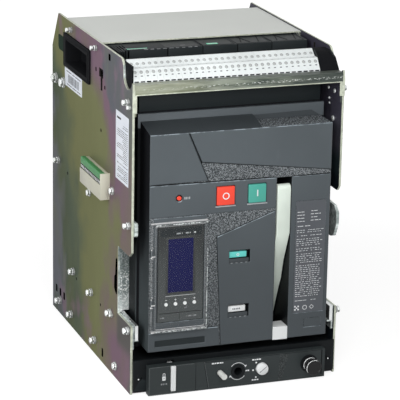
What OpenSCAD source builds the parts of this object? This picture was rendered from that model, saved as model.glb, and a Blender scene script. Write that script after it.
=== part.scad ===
// Draw-out air circuit breaker in its cradle.
// Frame: +X to the right seen from the front, the front faces -Y, +Z up, floor at Z = 0.
// X = 0 midway between the side plates, Y = 0 at the middle of the plates' depth.

/* [Cradle] */
// Width over the two side plates
cradle_w = 282; // [270:1:360]
// Height of the side plates
cradle_h = 430; // [400:1:540]
// Depth of the side plates
cradle_d = 360; // [345:1:450]
// Thickness of a side plate
plate_t = 3; // [2:0.5:4]
// How far the front edge stops below the plate's top
front_drop = 23; // [18:1:30]
// Chamfer of the rear top corner, along the depth
chamfer_y = 30; // [15:1:50]
// Chamfer of the rear top corner, along the height
chamfer_z = 50; // [20:1:70]
// Depth of the hand notch in the front edge
notch_d = 55; // [40:1:60]
// Height of the hand notch's sill
notch_z = 92; // [88:1:96]
// Head of the hand notch in the left plate
notch_head_l = 183; // [170:1:200]
// Head of the hand notch in the right plate
notch_head_r = 248; // [244:1:260]
// Radius of the scoop in the upper front corner
scoop_r = 18; // [14:1:20]
// Thickness of the folded sheet pieces
sheet_t = 2; // [1.5:0.5:3]

/* [Base] */
// Height of the base pan's turned-up sides
pan_side_h = 30; // [24:1:40]
// Distance between mounting holes across the width
base_pitch_x = 200; // [160:5:220]
// Distance between mounting holes along the depth
base_pitch_y = 240; // [200:5:260]
// Diameter of a mounting hole
base_hole_d = 9; // [6:0.5:12]

/* [Side connector] */
// Distance from the front edge to the side connector
conn_y = 91; // [84:1:110]
// Height of the side connector's lower edge
conn_z = 234; // [230:1:260]
// Length of the side connector
conn_w = 92; // [70:1:110]
// Height of the side connector
conn_h = 35; // [28:1:42]
// How far the side connector stands off the plate
conn_proud = 13; // [10:0.5:18]

/* [Rails] */
// Height of an extension rail
rail_h = 20; // [16:1:24]
// Thickness of an extension rail
rail_t = 4; // [3:0.5:5]
// Length of an extension rail
rail_len = 275; // [240:5:275]
// Running gap of the rails and of the feet on them
run_gap = 0.3; // [0.2:0.1:0.5]

/* [Top] */
// Depth of the top cover sheet
cover_d = 160; // [120:5:180]
// Distance from the front edge to the top cover sheet
cover_y = 143; // [130:1:150]
// Width of one terminal
terminal_pitch = 8; // [6:0.5:10]
// Width of the bracket at the right end of the terminal block
bracket_w = 26; // [20:1:40]
// Height of the crossbar's front flange
crossbar_h = 13; // [10:1:18]
// Depth of the crossbar's top flange
crossbar_d = 14; // [10:1:20]

/* [Breaker] */
// Free space between a side plate and the front cover
fascia_gap = 16.5; // [14:0.5:24]
// Height of the front cover's lower edge
fascia_z = 59.5; // [56:0.5:66]
// Drop from the crossbar's top to the front cover's top
fascia_drop = 63; // [58:1:75]
// How far the front cover stands before the side plates
fascia_proud = 11.6; // [8:0.1:16]
// Depth of the front cover
fascia_depth = 38.6; // [34:0.2:44]
// Wall thickness of the front cover
fascia_wall = 3; // [2:0.5:4]
// Free space between a side plate and the breaker's case
case_gap = 14; // [12:0.5:18]
// Distance from the case's rear to the plates' rear edge
case_back = 98; // [90:1:110]
// Height of the case's underside
case_z = 52; // [50:0.5:54]
// Distance between poles
pole_pitch = 72; // [68:1:90]

/* [Push buttons] */
// Width of an on or off button
button_w = 23.4; // [18:0.2:26]
// Height of an on or off button
button_h = 24; // [18:0.5:28]
// Distance between the on and off buttons
button_pitch = 42.3; // [34:0.5:50]
// Drop from the front cover's top to the buttons' middle
button_drop = 85; // [80:1:100]
// How far the buttons stand proud
button_proud = 2.4; // [1:0.2:4]
// Gap round a button
button_gap = 0.6; // [0.3:0.1:1]
// Diameter of the reset button
reset_d = 7.6; // [5:0.2:10]

/* [Trip unit] */
// Width of the trip unit
trip_w = 60; // [50:1:70]
// Height of the trip unit
trip_h = 126; // [110:1:140]
// Height of the trip unit's lower edge
trip_z = 99; // [92:1:120]
// Distance from the front cover's left side to the trip unit
trip_inset = 12; // [11:0.5:16]
// Width of the display
display_w = 33.7; // [24:0.5:40]
// Height of the display
display_h = 70.9; // [50:0.5:80]
// Diameter of a key
key_d = 4.5; // [3:0.1:6]
// Distance between keys
key_pitch = 12.6; // [10:0.2:14]
// Depth of the clear cover
lid_d = 8; // [7:0.5:10]
// Wall thickness of the clear cover
lid_t = 1.5; // [1:0.1:2]

/* [Charging handle] */
// Width of the handle
handle_w = 17.6; // [14:0.2:22]
// Gap between the handle and its slot
handle_gap = 1.4; // [1:0.1:2]
// Distance from the cover's middle to the handle's middle
handle_x = 57.9; // [54:0.1:64]
// Height of the handle's pivot
handle_pivot_z = 80; // [78:1:84]
// Diameter of the handle's pivot pin
handle_pin_d = 8; // [6:0.5:10]

/* [Racking unit] */
// Height of the racking unit's front panel
rack_h = 38.5; // [34:0.5:40]
// How far that panel stands before the side plates
rack_proud = 14.6; // [12:0.1:18]
// Diameter of the crank socket
socket_d = 11; // [8:0.5:14]
// Diameter of the position knob
knob_d = 16; // [12:0.5:20]
// Diameter of the stowed crank's knob
crank_knob_d = 18.6; // [14:0.2:20]

/* [Rear terminals] */
// Width of a rear terminal
term_w = 50; // [40:1:56]
// Thickness of a rear terminal
term_t = 10; // [8:1:14]
// How far the terminals stand behind the side plates
term_proud = 32; // [26:1:45]
// Diameter of a terminal's bolt hole
term_hole_d = 11; // [9:0.5:13.5]
// Distance between a terminal's bolt holes
term_hole_pitch = 25; // [22:0.5:30]
// Height of the lower terminals
term_low_z = 125; // [118:1:140]
// Height of the upper terminals
term_high_z = 300; // [240:1:310]

/* [Hidden] */
$fn = 48;

y0 = -cradle_d / 2;                      // front edge of the side plates
xo = cradle_w / 2;                       // outer face of a side plate
xi = xo - plate_t;                       // inner face of a side plate
front_h = cradle_h - front_drop;         // top of the front edge
bend = 2.5;                              // sheet thickness of the base pan
rail_top = notch_z + 1;                  // upper edge of the rails
guide_t = 2.5;                           // wall of a rail guide
rail_x = xi - guide_t - run_gap;         // outer face of a rail
crossbar_z = front_h - 1.5;              // top of the crossbar
bed_z = crossbar_z - crossbar_h;         // underside of the control bed
bed_t = 8;                               // thickness of the control bed
cover_z = cradle_h - 1.5;                // top of the cover sheet
module_z = cover_z - sheet_t - 1.5;      // top of the control modules
module_y = 105;                          // front of the control modules
fascia_x = xi - fascia_gap;              // half width of the front cover
fascia_top = front_h - fascia_drop;
fascia_y = y0 - fascia_proud;            // front face of the front cover
fascia_back = fascia_y + fascia_depth;
upstand_h = 17.5;                        // ledge behind the front cover's top
top_rise = 8;                            // rise of the cover's sloping top
slope_x = 27;                            // right end of that slope
upstand_t = 5;
case_x = xi - case_gap;                  // half width of the breaker's case
case_front = fascia_back + upstand_t;
case_rear = y0 + cradle_d - case_back;
case_top = fascia_top + 6;
chute_w = min(pole_pitch - 2, 2 * (case_x - 2 - pole_pitch));   // width of a chute, within the case
button_z = fascia_top - button_drop;
trip_x = -fascia_x + trip_inset + trip_w / 2;
trip_front = fascia_y - 0.8;
key_z = trip_z + 22.9;
display_z = trip_z + trip_h - 17;        // upper edge of the display
lid_x0 = -fascia_x + 1;                  // left side of the clear cover
lid_x1 = trip_x + trip_w / 2 + 4;
lid_z0 = trip_z - 12.5;
lid_z1 = trip_z + trip_h + 6;
lid_front = fascia_y - lid_d;
lid_back = fascia_y - 1.2;
hinge_x = lid_x0 + 2;
hinge_y = fascia_y - 3.4;
hinge_z = [lid_z0 + 39.7, lid_z1 - 39];
slot_x0 = handle_x - handle_w / 2 - handle_gap;
slot_x1 = handle_x + handle_w / 2 + handle_gap;
slot_top = fascia_top - 67;
handle_pivot_y = y0 + 48;
handle_top = slot_top - 10;
rack_y = y0 - rack_proud;                // front face of the racking panel
rack_z0 = 1.5;
rack_row_z = rack_z0 + 20.6;             // middle height of the racking controls
rack_x = fascia_x - 0.5;
rack_flange_y = y0 - 4;
rack_box_top = 45;
ins_front = y0 + cradle_d - 80;
ins_rear = y0 + cradle_d - 4;
ins_top = front_h - 17;
term_zs = [term_low_z, term_high_z];

module mirrored() {
    children();
    mirror([1, 0, 0]) children();
}

// A box from one corner to the opposite corner
module box(a, b) {
    translate(a) cube([b[0] - a[0], b[1] - a[1], b[2] - a[2]]);
}

// A cylinder along X, from x0 to x1
module rod_x(x0, x1, y, z, r) {
    translate([x0, y, z]) rotate([0, 90, 0]) cylinder(r = r, h = x1 - x0);
}

// A cylinder along Y, from y0 to y1
module rod_y(x, ya, yb, z, r) {
    translate([x, ya, z]) rotate([-90, 0, 0]) cylinder(r = r, h = yb - ya);
}

// A vertical slot with round ends, in the plate's own plane
module slot_2d(y, z, w, h) {
    translate([y - w / 2, z - h / 2 + w / 2]) square([w, h - w]);
    translate([y, z - h / 2 + w / 2]) circle(d = w);
    translate([y, z + h / 2 - w / 2]) circle(d = w);
}

// Outline of a side plate: first axis along the depth from the front edge, second axis up
module plate_outline(head, lip) {
    lip_r = scoop_r + 2;
    difference() {
        polygon([
            [0, 0], [cradle_d, 0], [cradle_d, cradle_h - chamfer_z],
            [cradle_d - chamfer_y, cradle_h], [0, cradle_h]
        ]);
        // upper front corner: lowered edge, scoop and rounded shoulder
        translate([-1, front_h]) square([lip_r + 1, front_drop + 1]);
        translate([lip_r, cradle_h - front_drop + scoop_r - 11]) circle(r = scoop_r);
        translate([lip_r - 1, front_h + scoop_r - 11]) square([scoop_r + 1, front_drop]);
        difference() {
            translate([lip_r + scoop_r - 1, cradle_h - 12]) square([13, 13]);
            translate([lip_r + scoop_r + 12, cradle_h - 12]) circle(r = 12);
        }
        // hand notch
        translate([-1, notch_z]) square([notch_d + 1, head - notch_z]);
        polygon([[-1, head - 1], [lip, head - 1], [lip, head], [0, head + 7], [-1, head + 7]]);
    }
}

// Holes and slots of a side plate
module plate_holes() {
    top = front_h - 407;
    slot_2d(cradle_d - 33, cradle_h - 35.5, 6, 14);
    translate([93, cradle_h - 13.5]) square([5, 7]);
    translate([123, 386 + top]) square([17, 11]);
    translate([126, 369 + top]) square([7, 18]);
    translate([notch_d + 5, 117]) square([4, 46]);
    for (y = [302, 321, 340]) translate([y - cradle_d / 2 + 178, 27.5]) square([5, 10]);
    slot_2d(120, 14.5, 6, 11);
    translate([131, 316]) circle(d = 4.5);
    translate([285, 216]) circle(d = 4);
    translate([242, 78]) circle(d = 4);
    translate([130, 78]) circle(d = 3.5);
}

// Opening for a hand recess
recess_y = 181;                          // from the front edge to the recess frame
recess_w = 111;
recess_h = 44;
recess_z = cradle_h - 65;
recess_rim = 5;
recess_x = max(xo - 22, pole_pitch + chute_w / 2 + 3);   // bottom of the recess, clear of the chutes

module side_plate(head, lip) {
    difference() {
        translate([xo, y0, 0]) rotate([90, 0, -90]) mirror([1, 0, 0])
            linear_extrude(height = plate_t) difference() {
                plate_outline(head, lip);
                plate_holes();
                translate([recess_y + recess_rim, recess_z + recess_rim])
                    square([recess_w - 2 * recess_rim, recess_h - 2 * recess_rim]);
            }
    }
}

module left_plate() {
    color("darkkhaki") mirror([1, 0, 0]) side_plate(notch_head_l, 9);
}

module right_plate() {
    color("darkkhaki") side_plate(notch_head_r, 6);
}

module base_pan() {
    color("darkkhaki") difference() {
        union() {
            box([-xi, y0 + 4, 0], [xi, y0 + cradle_d - 4, bend]);
            mirrored() box([xi - bend, y0 + 4, 0], [xi, y0 + cradle_d - 4, pan_side_h]);
        }
        for (x = [-1, 1], y = [-1, 1])
            translate([x * base_pitch_x / 2, y * base_pitch_y / 2, -1]) cylinder(d = base_hole_d, h = bend + 2);
    }
}

module rear_insulator() {
    cav_w = term_w + 8;
    color([0.09, 0.09, 0.1]) difference() {
        box([-xi + bend, ins_front, bend], [xi - bend, ins_rear, ins_top]);
        for (i = [-1, 0, 1], z = term_zs) {
            box([i * pole_pitch - cav_w / 2, ins_front - 1, z - 24], [i * pole_pitch + cav_w / 2, ins_rear - 12, z + 24]);
            box([i * pole_pitch - term_w / 2, ins_rear - 13, z - term_t / 2], [i * pole_pitch + term_w / 2, ins_rear + 1, z + term_t / 2]);
        }
        // waist between the two rows, open to the rear
        box([-xi + 12, ins_rear - 30, term_low_z + 40], [xi - 12, ins_rear + 1, term_high_z - 40]);
        mirrored() box([xi - 14, ins_rear - 10, bend - 1], [xi - bend + 1, ins_rear + 1, 60]);
        // clearance for the hand recesses
        mirrored() box([recess_x - 3, ins_front - 1, recess_z + recess_rim - 3],
            [xi, y0 + recess_y + recess_w + 3, ins_top + 1]);
    }
}

module terminal_row(z) {
    rear = y0 + cradle_d + term_proud;
    for (i = [-1, 0, 1]) difference() {
        box([i * pole_pitch - term_w / 2, ins_front + 20, z - term_t / 2], [i * pole_pitch + term_w / 2, rear, z + term_t / 2]);
        for (s = [-1, 1])
            translate([i * pole_pitch + s * term_hole_pitch / 2, rear - 16, z - term_t]) cylinder(d = term_hole_d, h = 2 * term_t);
    }
}

module rear_terminals() { color("silver") for (z = term_zs) terminal_row(z); }

module top_cover() {
    color([0.8, 0.81, 0.79]) {
        box([-xi, y0 + cover_y, cover_z - sheet_t], [xi, y0 + cover_y + cover_d, cover_z]);
        mirrored() box([xi - sheet_t, y0 + cover_y + 2, cover_z - 18], [xi, y0 + cover_y + cover_d - 2, cover_z - sheet_t]);
    }
}

module crossbar() {
    color("darkkhaki") {
        box([-xi, y0 - 2, crossbar_z - sheet_t], [xi, y0 - 2 + crossbar_d, crossbar_z]);
        box([-xi, y0 - 2, crossbar_z - crossbar_h], [xi, y0 - 2 + sheet_t, crossbar_z - sheet_t]);
        mirrored() box([xi - sheet_t, y0, crossbar_z - 40], [xi, y0 + 50, crossbar_z - crossbar_h]);
        mirrored() box([xi - sheet_t, y0, crossbar_z - crossbar_h], [xi, y0 + block_y - 2, crossbar_z - sheet_t]);
    }
}

block_y = crossbar_d - 1.7;              // front of the terminal block, behind the crossbar
block_rear = block_y + 31.7;
block_x0 = -xi + 2;
block_cols = floor((2 * xi - 2 - bracket_w) / terminal_pitch);
block_x1 = block_x0 + block_cols * terminal_pitch;

module terminal_block() {
    color("white") translate([block_x0, y0, 0]) rotate([90, 0, 90])
        linear_extrude(height = block_x1 - block_x0) polygon([
            [block_y, bed_z + bed_t], [block_rear, bed_z + bed_t],
            [block_rear, cover_z], [block_rear - 3, cover_z], [block_rear - 12.5, crossbar_z + 15.5],
            [block_rear - 21.5, crossbar_z + 15.5], [block_y, crossbar_z + 3]
        ]);
}

// Bed of the control terminals with a bracket at each end
module control_bed() {
    color([0.1, 0.1, 0.11]) {
        box([-xi, y0 + crossbar_d - 1.9, bed_z], [xi, y0 + recess_y - 6, bed_z + bed_t]);
        box([-xi, y0 + block_y, bed_z], [block_x0, y0 + block_rear, cover_z - 2]);
        translate([block_x1, y0, 0]) rotate([90, 0, 90])
            linear_extrude(height = xi - block_x1) polygon([
                [block_y, bed_z], [block_rear + 16, bed_z],
                [block_rear + 16, module_z], [block_rear - 6, module_z],
                [block_rear - 20, crossbar_z + 14], [block_y, crossbar_z + 1]
            ]);
    }
}

module control_modules() {
    widths = [0, 47.5, 95, 142.5];
    z0 = bed_z + bed_t;
    color([0.2, 0.21, 0.22]) difference() {
        box([-xi + 6, y0 + module_y, z0], [xi - 6, y0 + recess_y - 8, module_z]);
        for (w = widths) box([xi - 56 - w, y0 + module_y - 1, z0 + 4], [xi - 55.2 - w, y0 + recess_y, module_z + 1]);
        for (k = [0 : 4]) box([-xi + 8 + k * 4, y0 + module_y - 1, z0 + 12], [-xi + 10 + k * 4, y0 + module_y + 30, module_z + 1]);
    }
}

module racking_box() {
    color([0.07, 0.07, 0.08]) difference() {
        union() {
            box([-xi, rack_flange_y, 5.5], [xi, y0, rack_box_top + 2]);
            box([-xi + bend, y0, bend], [xi - bend, y0 + 60, rack_box_top]);
        }
        rod_y(0, rack_flange_y - 1, y0 + 30, rack_row_z, socket_d / 2 + 3);
        rod_y(-22, rack_flange_y - 1, y0 + 26, rack_row_z, 7);
        box([-93, rack_flange_y - 1, rack_row_z - 21], [-83, y0 + 46, rack_row_z + 21]);
        rod_y(crank_at, rack_flange_y - 1, y0 + 59, rack_row_z, 7);
        mirrored() rod_y(xi - 8, rack_flange_y - 1, rack_flange_y + 3, rack_row_z + 1, 3.5);
    }
}

tab_x = -88;                             // middle of the padlock tab
tab_w = 6.5;
tab_h = 34;
knob_x = 33;
crank_at = 98.7;
release_x = -24;

module racking_panel() {
    color([0.17, 0.18, 0.18]) difference() {
        box([-rack_x, rack_y, rack_z0], [rack_x, rack_flange_y, rack_z0 + rack_h]);
        rod_y(0, rack_y - 1, y0, rack_row_z, socket_d / 2 + 3);
        rod_y(release_x, rack_y - 1, y0, rack_row_z, 4.6);
        box([tab_x - tab_w / 2 - 0.8, rack_y - 1, rack_row_z - tab_h / 2 - 0.8], [tab_x + tab_w / 2 + 0.8, y0, rack_row_z + tab_h / 2 + 0.8]);
        rod_y(knob_x, rack_y - 1, rack_y + 7, rack_row_z, knob_d / 2 + 0.6);
        rod_y(crank_at, rack_y - 1, y0, rack_row_z, 6.5);
    }
}

module racking_socket() {
    color([0.12, 0.12, 0.13]) difference() {
        union() {
            rod_y(0, rack_y - 1, y0 + 30, rack_row_z, socket_d / 2 + 3);
            rod_y(0, rack_y - 1, rack_y, rack_row_z, socket_d / 2 + 4);
        }
        rod_y(0, rack_y - 2, y0 + 26, rack_row_z, socket_d / 2);
    }
}

module crank_knob() {
    color([0.1, 0.1, 0.11]) {
        rod_y(crank_at, rack_y - 3, rack_y, rack_row_z, crank_knob_d / 2 + 1.2);
        rod_y(crank_at, rack_y - 19, rack_y - 3, rack_row_z, crank_knob_d / 2);
        rod_y(crank_at, rack_y, y0 + 59, rack_row_z, 6);
    }
}

module rail_guides() {
    color("darkkhaki") mirrored() {
        box([xi - guide_t, y0 + 3, rail_top - rail_h - 13], [xi, y0 + cradle_d - 88, rail_top - 1]);
        box([xi - guide_t - rail_t - 2, y0 + 3, rail_top - rail_h - run_gap - guide_t], [xi - guide_t, y0 + cradle_d - 88, rail_top - rail_h - run_gap]);
    }
}

// One stop lug: a plate on the inside of a side plate, cut to an outline of (y, z)
module stop_lug(outline) {
    translate([xi - 4, y0, 0]) rotate([90, 0, 90]) linear_extrude(height = 4) polygon(outline);
}

module stop_lugs() {
    nose = -5.5;
    color([0.82, 0.83, 0.8]) {
        stop_lug([
            [27, notch_head_l + 2], [notch_d + 18, notch_head_l + 14], [notch_d + 18, notch_head_l + 42], [27, notch_head_l + 47],
            [3, notch_head_l + 46], [nose, notch_head_l + 38], [nose, notch_head_l + 22], [3, notch_head_l + 5], [12, notch_head_l + 2]
        ]);
        mirror([1, 0, 0]) stop_lug([
            [27, notch_head_l + 26], [notch_d + 18, notch_head_l + 26], [notch_d + 18, notch_head_l + 44],
            [nose + 2, notch_head_l + 47], [nose, notch_head_l + 45], [nose, notch_head_l + 31], [nose + 2, notch_head_l + 29]
        ]);
    }
}

module hand_recess() {
    r = recess_rim;
    difference() {
        union() {
            box([xo, y0 + recess_y, recess_z], [xo + 3, y0 + recess_y + recess_w, recess_z + recess_h]);
            box([recess_x, y0 + recess_y + r, recess_z + r], [xo, y0 + recess_y + recess_w - r, recess_z + recess_h - r]);
        }
        box([recess_x + 2, y0 + recess_y + r + 2, recess_z + r + 2], [xo + 4, y0 + recess_y + recess_w - r - 2, recess_z + recess_h - r - 2]);
    }
}

module hand_recesses() { color([0.08, 0.08, 0.08]) mirrored() hand_recess(); }

module side_connector() {
    top = conn_z + conn_h;
    color([0.86, 0.84, 0.74]) difference() {
        box([-xo - conn_proud, y0 + conn_y, conn_z], [-xo, y0 + conn_y + conn_w, top]);
        // step behind the plug's rim
        box([-xo - conn_proud - 1, y0 + conn_y + 2, top - 9], [-xo - conn_proud + 0.8, y0 + conn_y + conn_w + 1, top + 1]);
    }
}

// Heads of the plate's bolts: distance from the front edge, height, diameter, length
function bolt_list() = [
    [14.8, front_h - 26, 10, 9], [7.5, notch_head_l + 41, 10, 9], [78, 249.5, 11, 5.5],
    [179.5, 218.5, 11, 5], [cradle_d - 32.5, 223.5, 10, 8.5], [cradle_d - 21, 337.5, 15, 8],
    [cradle_d - 58, 339.5, 15, 7], [8, rail_top - 8.5, 11, 8], [84.5, rail_top - 10.5, 11, 7.5],
    [169, rail_top - 10.5, 11, 8], [cradle_d - 106, rail_top - 8.5, 11, 8], [61, 17.3, 12, 5],
    [153, 20.5, 11, 8], [cradle_d - 96, 19, 11, 8], [cradle_d - 41, 21, 11, 9],
    [152, cover_z - 8.5, 8, 9], [265, cover_z - 8.5, 8, 9]
];

// A bolt that would stand in the hand notch moves behind it
function bolt_y(b, head) = b[0] < notch_d && b[1] > notch_z && b[1] < head + 4 ? notch_d + 9 : b[0];

module bolt_heads(head) {
    for (b = bolt_list())
        translate([xo, y0 + bolt_y(b, head), b[1]]) rotate([0, 90, 0]) cylinder(d = b[2], h = b[3], $fn = 6);
}

module plate_fasteners() {
    color("silver") {
        bolt_heads(notch_head_r);
        mirror([1, 0, 0]) bolt_heads(notch_head_l);
    }
}

module rail_bar() {
    difference() {
        box([rail_x - rail_t, y0 - 1, rail_top - rail_h], [rail_x, y0 - 1 + rail_len, rail_top]);
        for (y = [120, 200]) rod_x(rail_x - rail_t - 1, rail_x + 1, y0 + y, rail_top - rail_h / 2, 3);
    }
}

module left_rail() { color("gainsboro") mirror([1, 0, 0]) rail_bar(); }

module right_rail() { color("gainsboro") rail_bar(); }

module padlock_tab() {
    color("white") difference() {
        box([tab_x - tab_w / 2, rack_y - 1.5, rack_row_z - tab_h / 2], [tab_x + tab_w / 2, rack_y + 45, rack_row_z + tab_h / 2]);
        rod_x(tab_x - tab_w, tab_x + tab_w, rack_y + 14, rack_row_z, 4.5);
    }
}

module release_button() {
    color("silver") rod_y(release_x, rack_y - 15, y0 + 12, rack_row_z, 4);
}

module position_knob() {
    color("white") difference() {
        rod_y(knob_x, rack_y - 5, rack_y + 6.5, rack_row_z, knob_d / 2);
        translate([knob_x, rack_y - 5, rack_row_z]) rotate([0, 40, 0]) cube([knob_d + 2, 3, 2.4], center = true);
    }
}

module breaker_case() {
    cav_x0 = slot_x0 - 1;
    cav_x1 = slot_x1 + 1;
    color([0.08, 0.08, 0.09]) difference() {
        union() {
            box([-case_x, case_front, case_z], [case_x, case_rear, case_top]);
            box([-case_x, case_front, case_top], [case_x, case_front + 28, fascia_top + upstand_h]);
        }
        box([cav_x0, case_front - 1, handle_pivot_z - 24], [cav_x1, handle_pivot_y + 18, slot_top + 2]);
    }
}

module arc_chutes() {
    z1 = bed_z - 6;
    w = chute_w / 2;
    slots = floor((case_rear - case_front - 54) / 22);
    color([0.15, 0.15, 0.16]) for (x = [-1, 0, 1] * pole_pitch) difference() {
        box([x - w, case_front + 28, case_top], [x + w, case_rear - 6, z1]);
        for (k = [0 : slots - 1]) box([x - w + 7, case_front + 40 + k * 22, z1 - 8], [x + w - 7, case_front + 54 + k * 22, z1 + 1]);
    }
}

module side_feet() {
    x1 = rail_x - 0.5;
    color("silver") mirrored() {
        box([case_x, y0 + 60, rail_top + run_gap], [x1, y0 + 62, notch_head_l - 1]);
        box([case_x, y0 + 62, rail_top + run_gap], [x1, case_rear - 10, rail_top + run_gap + 2]);
        box([case_x, y0 + 62, rail_top + run_gap + 2], [case_x + 2, case_rear - 10, notch_head_l - 1]);
    }
}

module plug_contacts() {
    gap = 1.5;
    color("peru") for (i = [-1, 0, 1], z = term_zs) {
        x = i * pole_pitch;
        box([x - 22, case_rear, z - 13.5], [x + 22, ins_front + 14, z + 13.5]);
        for (s = [-1, 1]) {
            zc = z + s * (term_t / 2 + gap + 3.5);
            box([x - 22, ins_front + 14, zc - 3.5], [x + 22, ins_front + 40, zc + 3.5]);
        }
    }
}

// Left to right places of the two state windows
window_x = -0.3;
window_w = 28;
window_h = 16.6;
window_z = [fascia_z + 44.5, fascia_z + 117.3];

module fascia() {
    w = fascia_wall;
    color([0.33, 0.35, 0.37]) difference() {
        union() {
            difference() {
                box([-fascia_x, fascia_y, fascia_z], [fascia_x, fascia_back, fascia_top]);
                box([-fascia_x + w, fascia_y + w, fascia_z + w], [fascia_x - w, fascia_back + 1, fascia_top - w]);
            }
            box([-case_x - 1, fascia_back, fascia_z + 6], [case_x + 1, case_front, fascia_top + upstand_h]);
            translate([-fascia_x, 0, 0]) rotate([90, 0, 90]) linear_extrude(height = fascia_x + slope_x)
                polygon([[fascia_y + 1, fascia_top - w], [fascia_y + 1, fascia_top], [fascia_back, fascia_top + top_rise], [fascia_back, fascia_top - w]]);
            for (z = window_z)
                box([window_x - window_w / 2 - 2, fascia_y + 1, z - window_h / 2 - 2], [window_x + window_w / 2 + 2, fascia_y + 11, z + window_h / 2 + 2]);
            // hinge knuckles of the clear cover
            for (z = hinge_z) {
                translate([hinge_x, hinge_y, z - 4]) cylinder(r = 2.5, h = 8);
                box([hinge_x - 1.5, hinge_y, z - 4], [hinge_x + 1.5, fascia_y + 1, z + 4]);
            }
            // walls of the handle slot
            for (x = [slot_x0 - w, slot_x1]) box([x, fascia_y + 1, fascia_z], [x + w, fascia_back, slot_top + w]);
            box([slot_x0 - w, fascia_y + 1, slot_top], [slot_x1 + w, fascia_back, slot_top + w]);
        }
        for (z = hinge_z) translate([hinge_x, hinge_y, z - 5]) cylinder(r = 1.25, h = 10);
        for (z = window_z)
            box([window_x - window_w / 2, fascia_y - 1, z - window_h / 2], [window_x + window_w / 2, fascia_y + 9, z + window_h / 2]);
        for (s = [-1, 1])
            box([s * button_pitch / 2 - button_w / 2 - button_gap, fascia_y - 1, button_z - button_h / 2 - button_gap],
                [s * button_pitch / 2 + button_w / 2 + button_gap, fascia_y + w + 1, button_z + button_h / 2 + button_gap]);
        rod_y(-82.8, fascia_y - 1, fascia_y + w + 1, button_z + 1.5, reset_d / 2 + 0.4);
        box([trip_x - trip_w / 2 - 0.2, fascia_y - 1, trip_z - 0.2], [trip_x + trip_w / 2 + 0.2, fascia_y + w + 1, trip_z + trip_h + 0.2]);
        box([slot_x0, fascia_y - 1, fascia_z - 1], [slot_x1, fascia_back + 20, slot_top]);
        box([-112.5, fascia_y - 1, fascia_z + 6.5], [-45.5, fascia_y + 1.5, fascia_z + 14.5]);
    }
}

module trip_unit() {
    color([0.2, 0.21, 0.22]) difference() {
        box([trip_x - trip_w / 2, trip_front, trip_z], [trip_x + trip_w / 2, fascia_back, trip_z + trip_h]);
        box([trip_x - display_w / 2, trip_front - 1, display_z - display_h], [trip_x + display_w / 2, trip_front + 1.6, display_z]);
        for (k = [0 : 3]) rod_y(trip_x + (k - 1.5) * key_pitch, trip_front - 1, trip_front + 6, key_z, key_d / 2 + 0.25);
    }
}

module trip_display() {
    color([0.17, 0.17, 0.33])
        box([trip_x - display_w / 2, trip_front + 0.6, display_z - display_h], [trip_x + display_w / 2, trip_front + 1.6, display_z]);
}

module key(k) {
    color("white") rod_y(trip_x + (k - 2.5) * key_pitch, trip_front - 1.2, trip_front + 4.5, key_z, key_d / 2);
}

module key_1() { key(1); }

module key_2() { key(2); }

module key_3() { key(3); }

module key_4() { key(4); }

module trip_lid() {
    t = lid_t;
    color([0.85, 0.9, 0.92, 0.3]) {
        difference() {
            box([lid_x0, lid_front, lid_z0], [lid_x1, lid_back, lid_z1]);
            box([lid_x0 + t, lid_front + t, lid_z0 + t], [lid_x1 - t, lid_back + 1, lid_z1 - t]);
            for (z = hinge_z) box([lid_x0 - 1, lid_front + t, z - 6], [lid_x0 + t + 1, lid_back + 1, z + 6]);
        }
        for (z = hinge_z) {
            for (s = [-1, 1]) translate([0, 0, s * 7]) box([lid_x0 + t, lid_front + t, z - 1], [hinge_x + 1.6, hinge_y + 1.6, z + 1]);
            translate([hinge_x, hinge_y, z - 6.5]) cylinder(r = 1.2, h = 13);
        }
    }
}

module push_button(x) {
    box([x - button_w / 2, fascia_y - button_proud, button_z - button_h / 2], [x + button_w / 2, fascia_y + 14, button_z + button_h / 2]);
}

module off_button() { color([0.94, 0.33, 0.27]) push_button(-button_pitch / 2); }

module on_button() { color([0.35, 0.69, 0.61]) push_button(button_pitch / 2); }

module reset_button() {
    color([0.85, 0.2, 0.18]) rod_y(-82.8, fascia_y - 1.5, fascia_y + 12, button_z + 1.5, reset_d / 2);
}

module flag(z) {
    box([window_x - window_w / 2, fascia_y + 8, z - 2], [window_x + window_w / 2, fascia_y + 9, z + 6.5]);
}

module state_flag() { color([0.37, 0.8, 0.73]) flag(window_z[1]); }

module spring_flag() { color("white") flag(window_z[0]); }

module rating_plate() {
    color([0.36, 0.36, 0.42])
        box([slot_x1 + 7, fascia_y - 0.5, fascia_z + 33], [fascia_x - 5, fascia_y, button_z - 16]);
}

module handle_stop() {
    color([0.9, 0.92, 0.88])
        box([slot_x0, fascia_y - 0.5, fascia_z - 1], [slot_x1, fascia_y + 22, fascia_z + 16.3]);
}

module handle_pin() {
    color("silver") rod_x(slot_x0 - 1, slot_x1 + 1, handle_pivot_y, handle_pivot_z, handle_pin_d / 2);
}

module charging_handle() {
    z = handle_pivot_z;
    color([0.87, 0.9, 0.86]) translate([handle_x - handle_w / 2, y0, 0]) rotate([90, 0, 90])
        linear_extrude(height = handle_w) difference() {
            union() {
                polygon([
                    [-13, handle_top - 6], [-13, z + 123], [4.4, z + 82], [12.4, z + 53], [19.4, z + 39],
                    [37, z - 4], [52, z + 10], [33, z + 40], [25, z + 56], [16, z + 86], [-1, z + 126], [-1, handle_top - 6]
                ]);
                translate([-7, handle_top - 6]) circle(r = 6);
                translate([48, z]) circle(r = 11);
            }
            translate([48, z]) circle(d = handle_pin_d + 0.1);
        }
}

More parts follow.
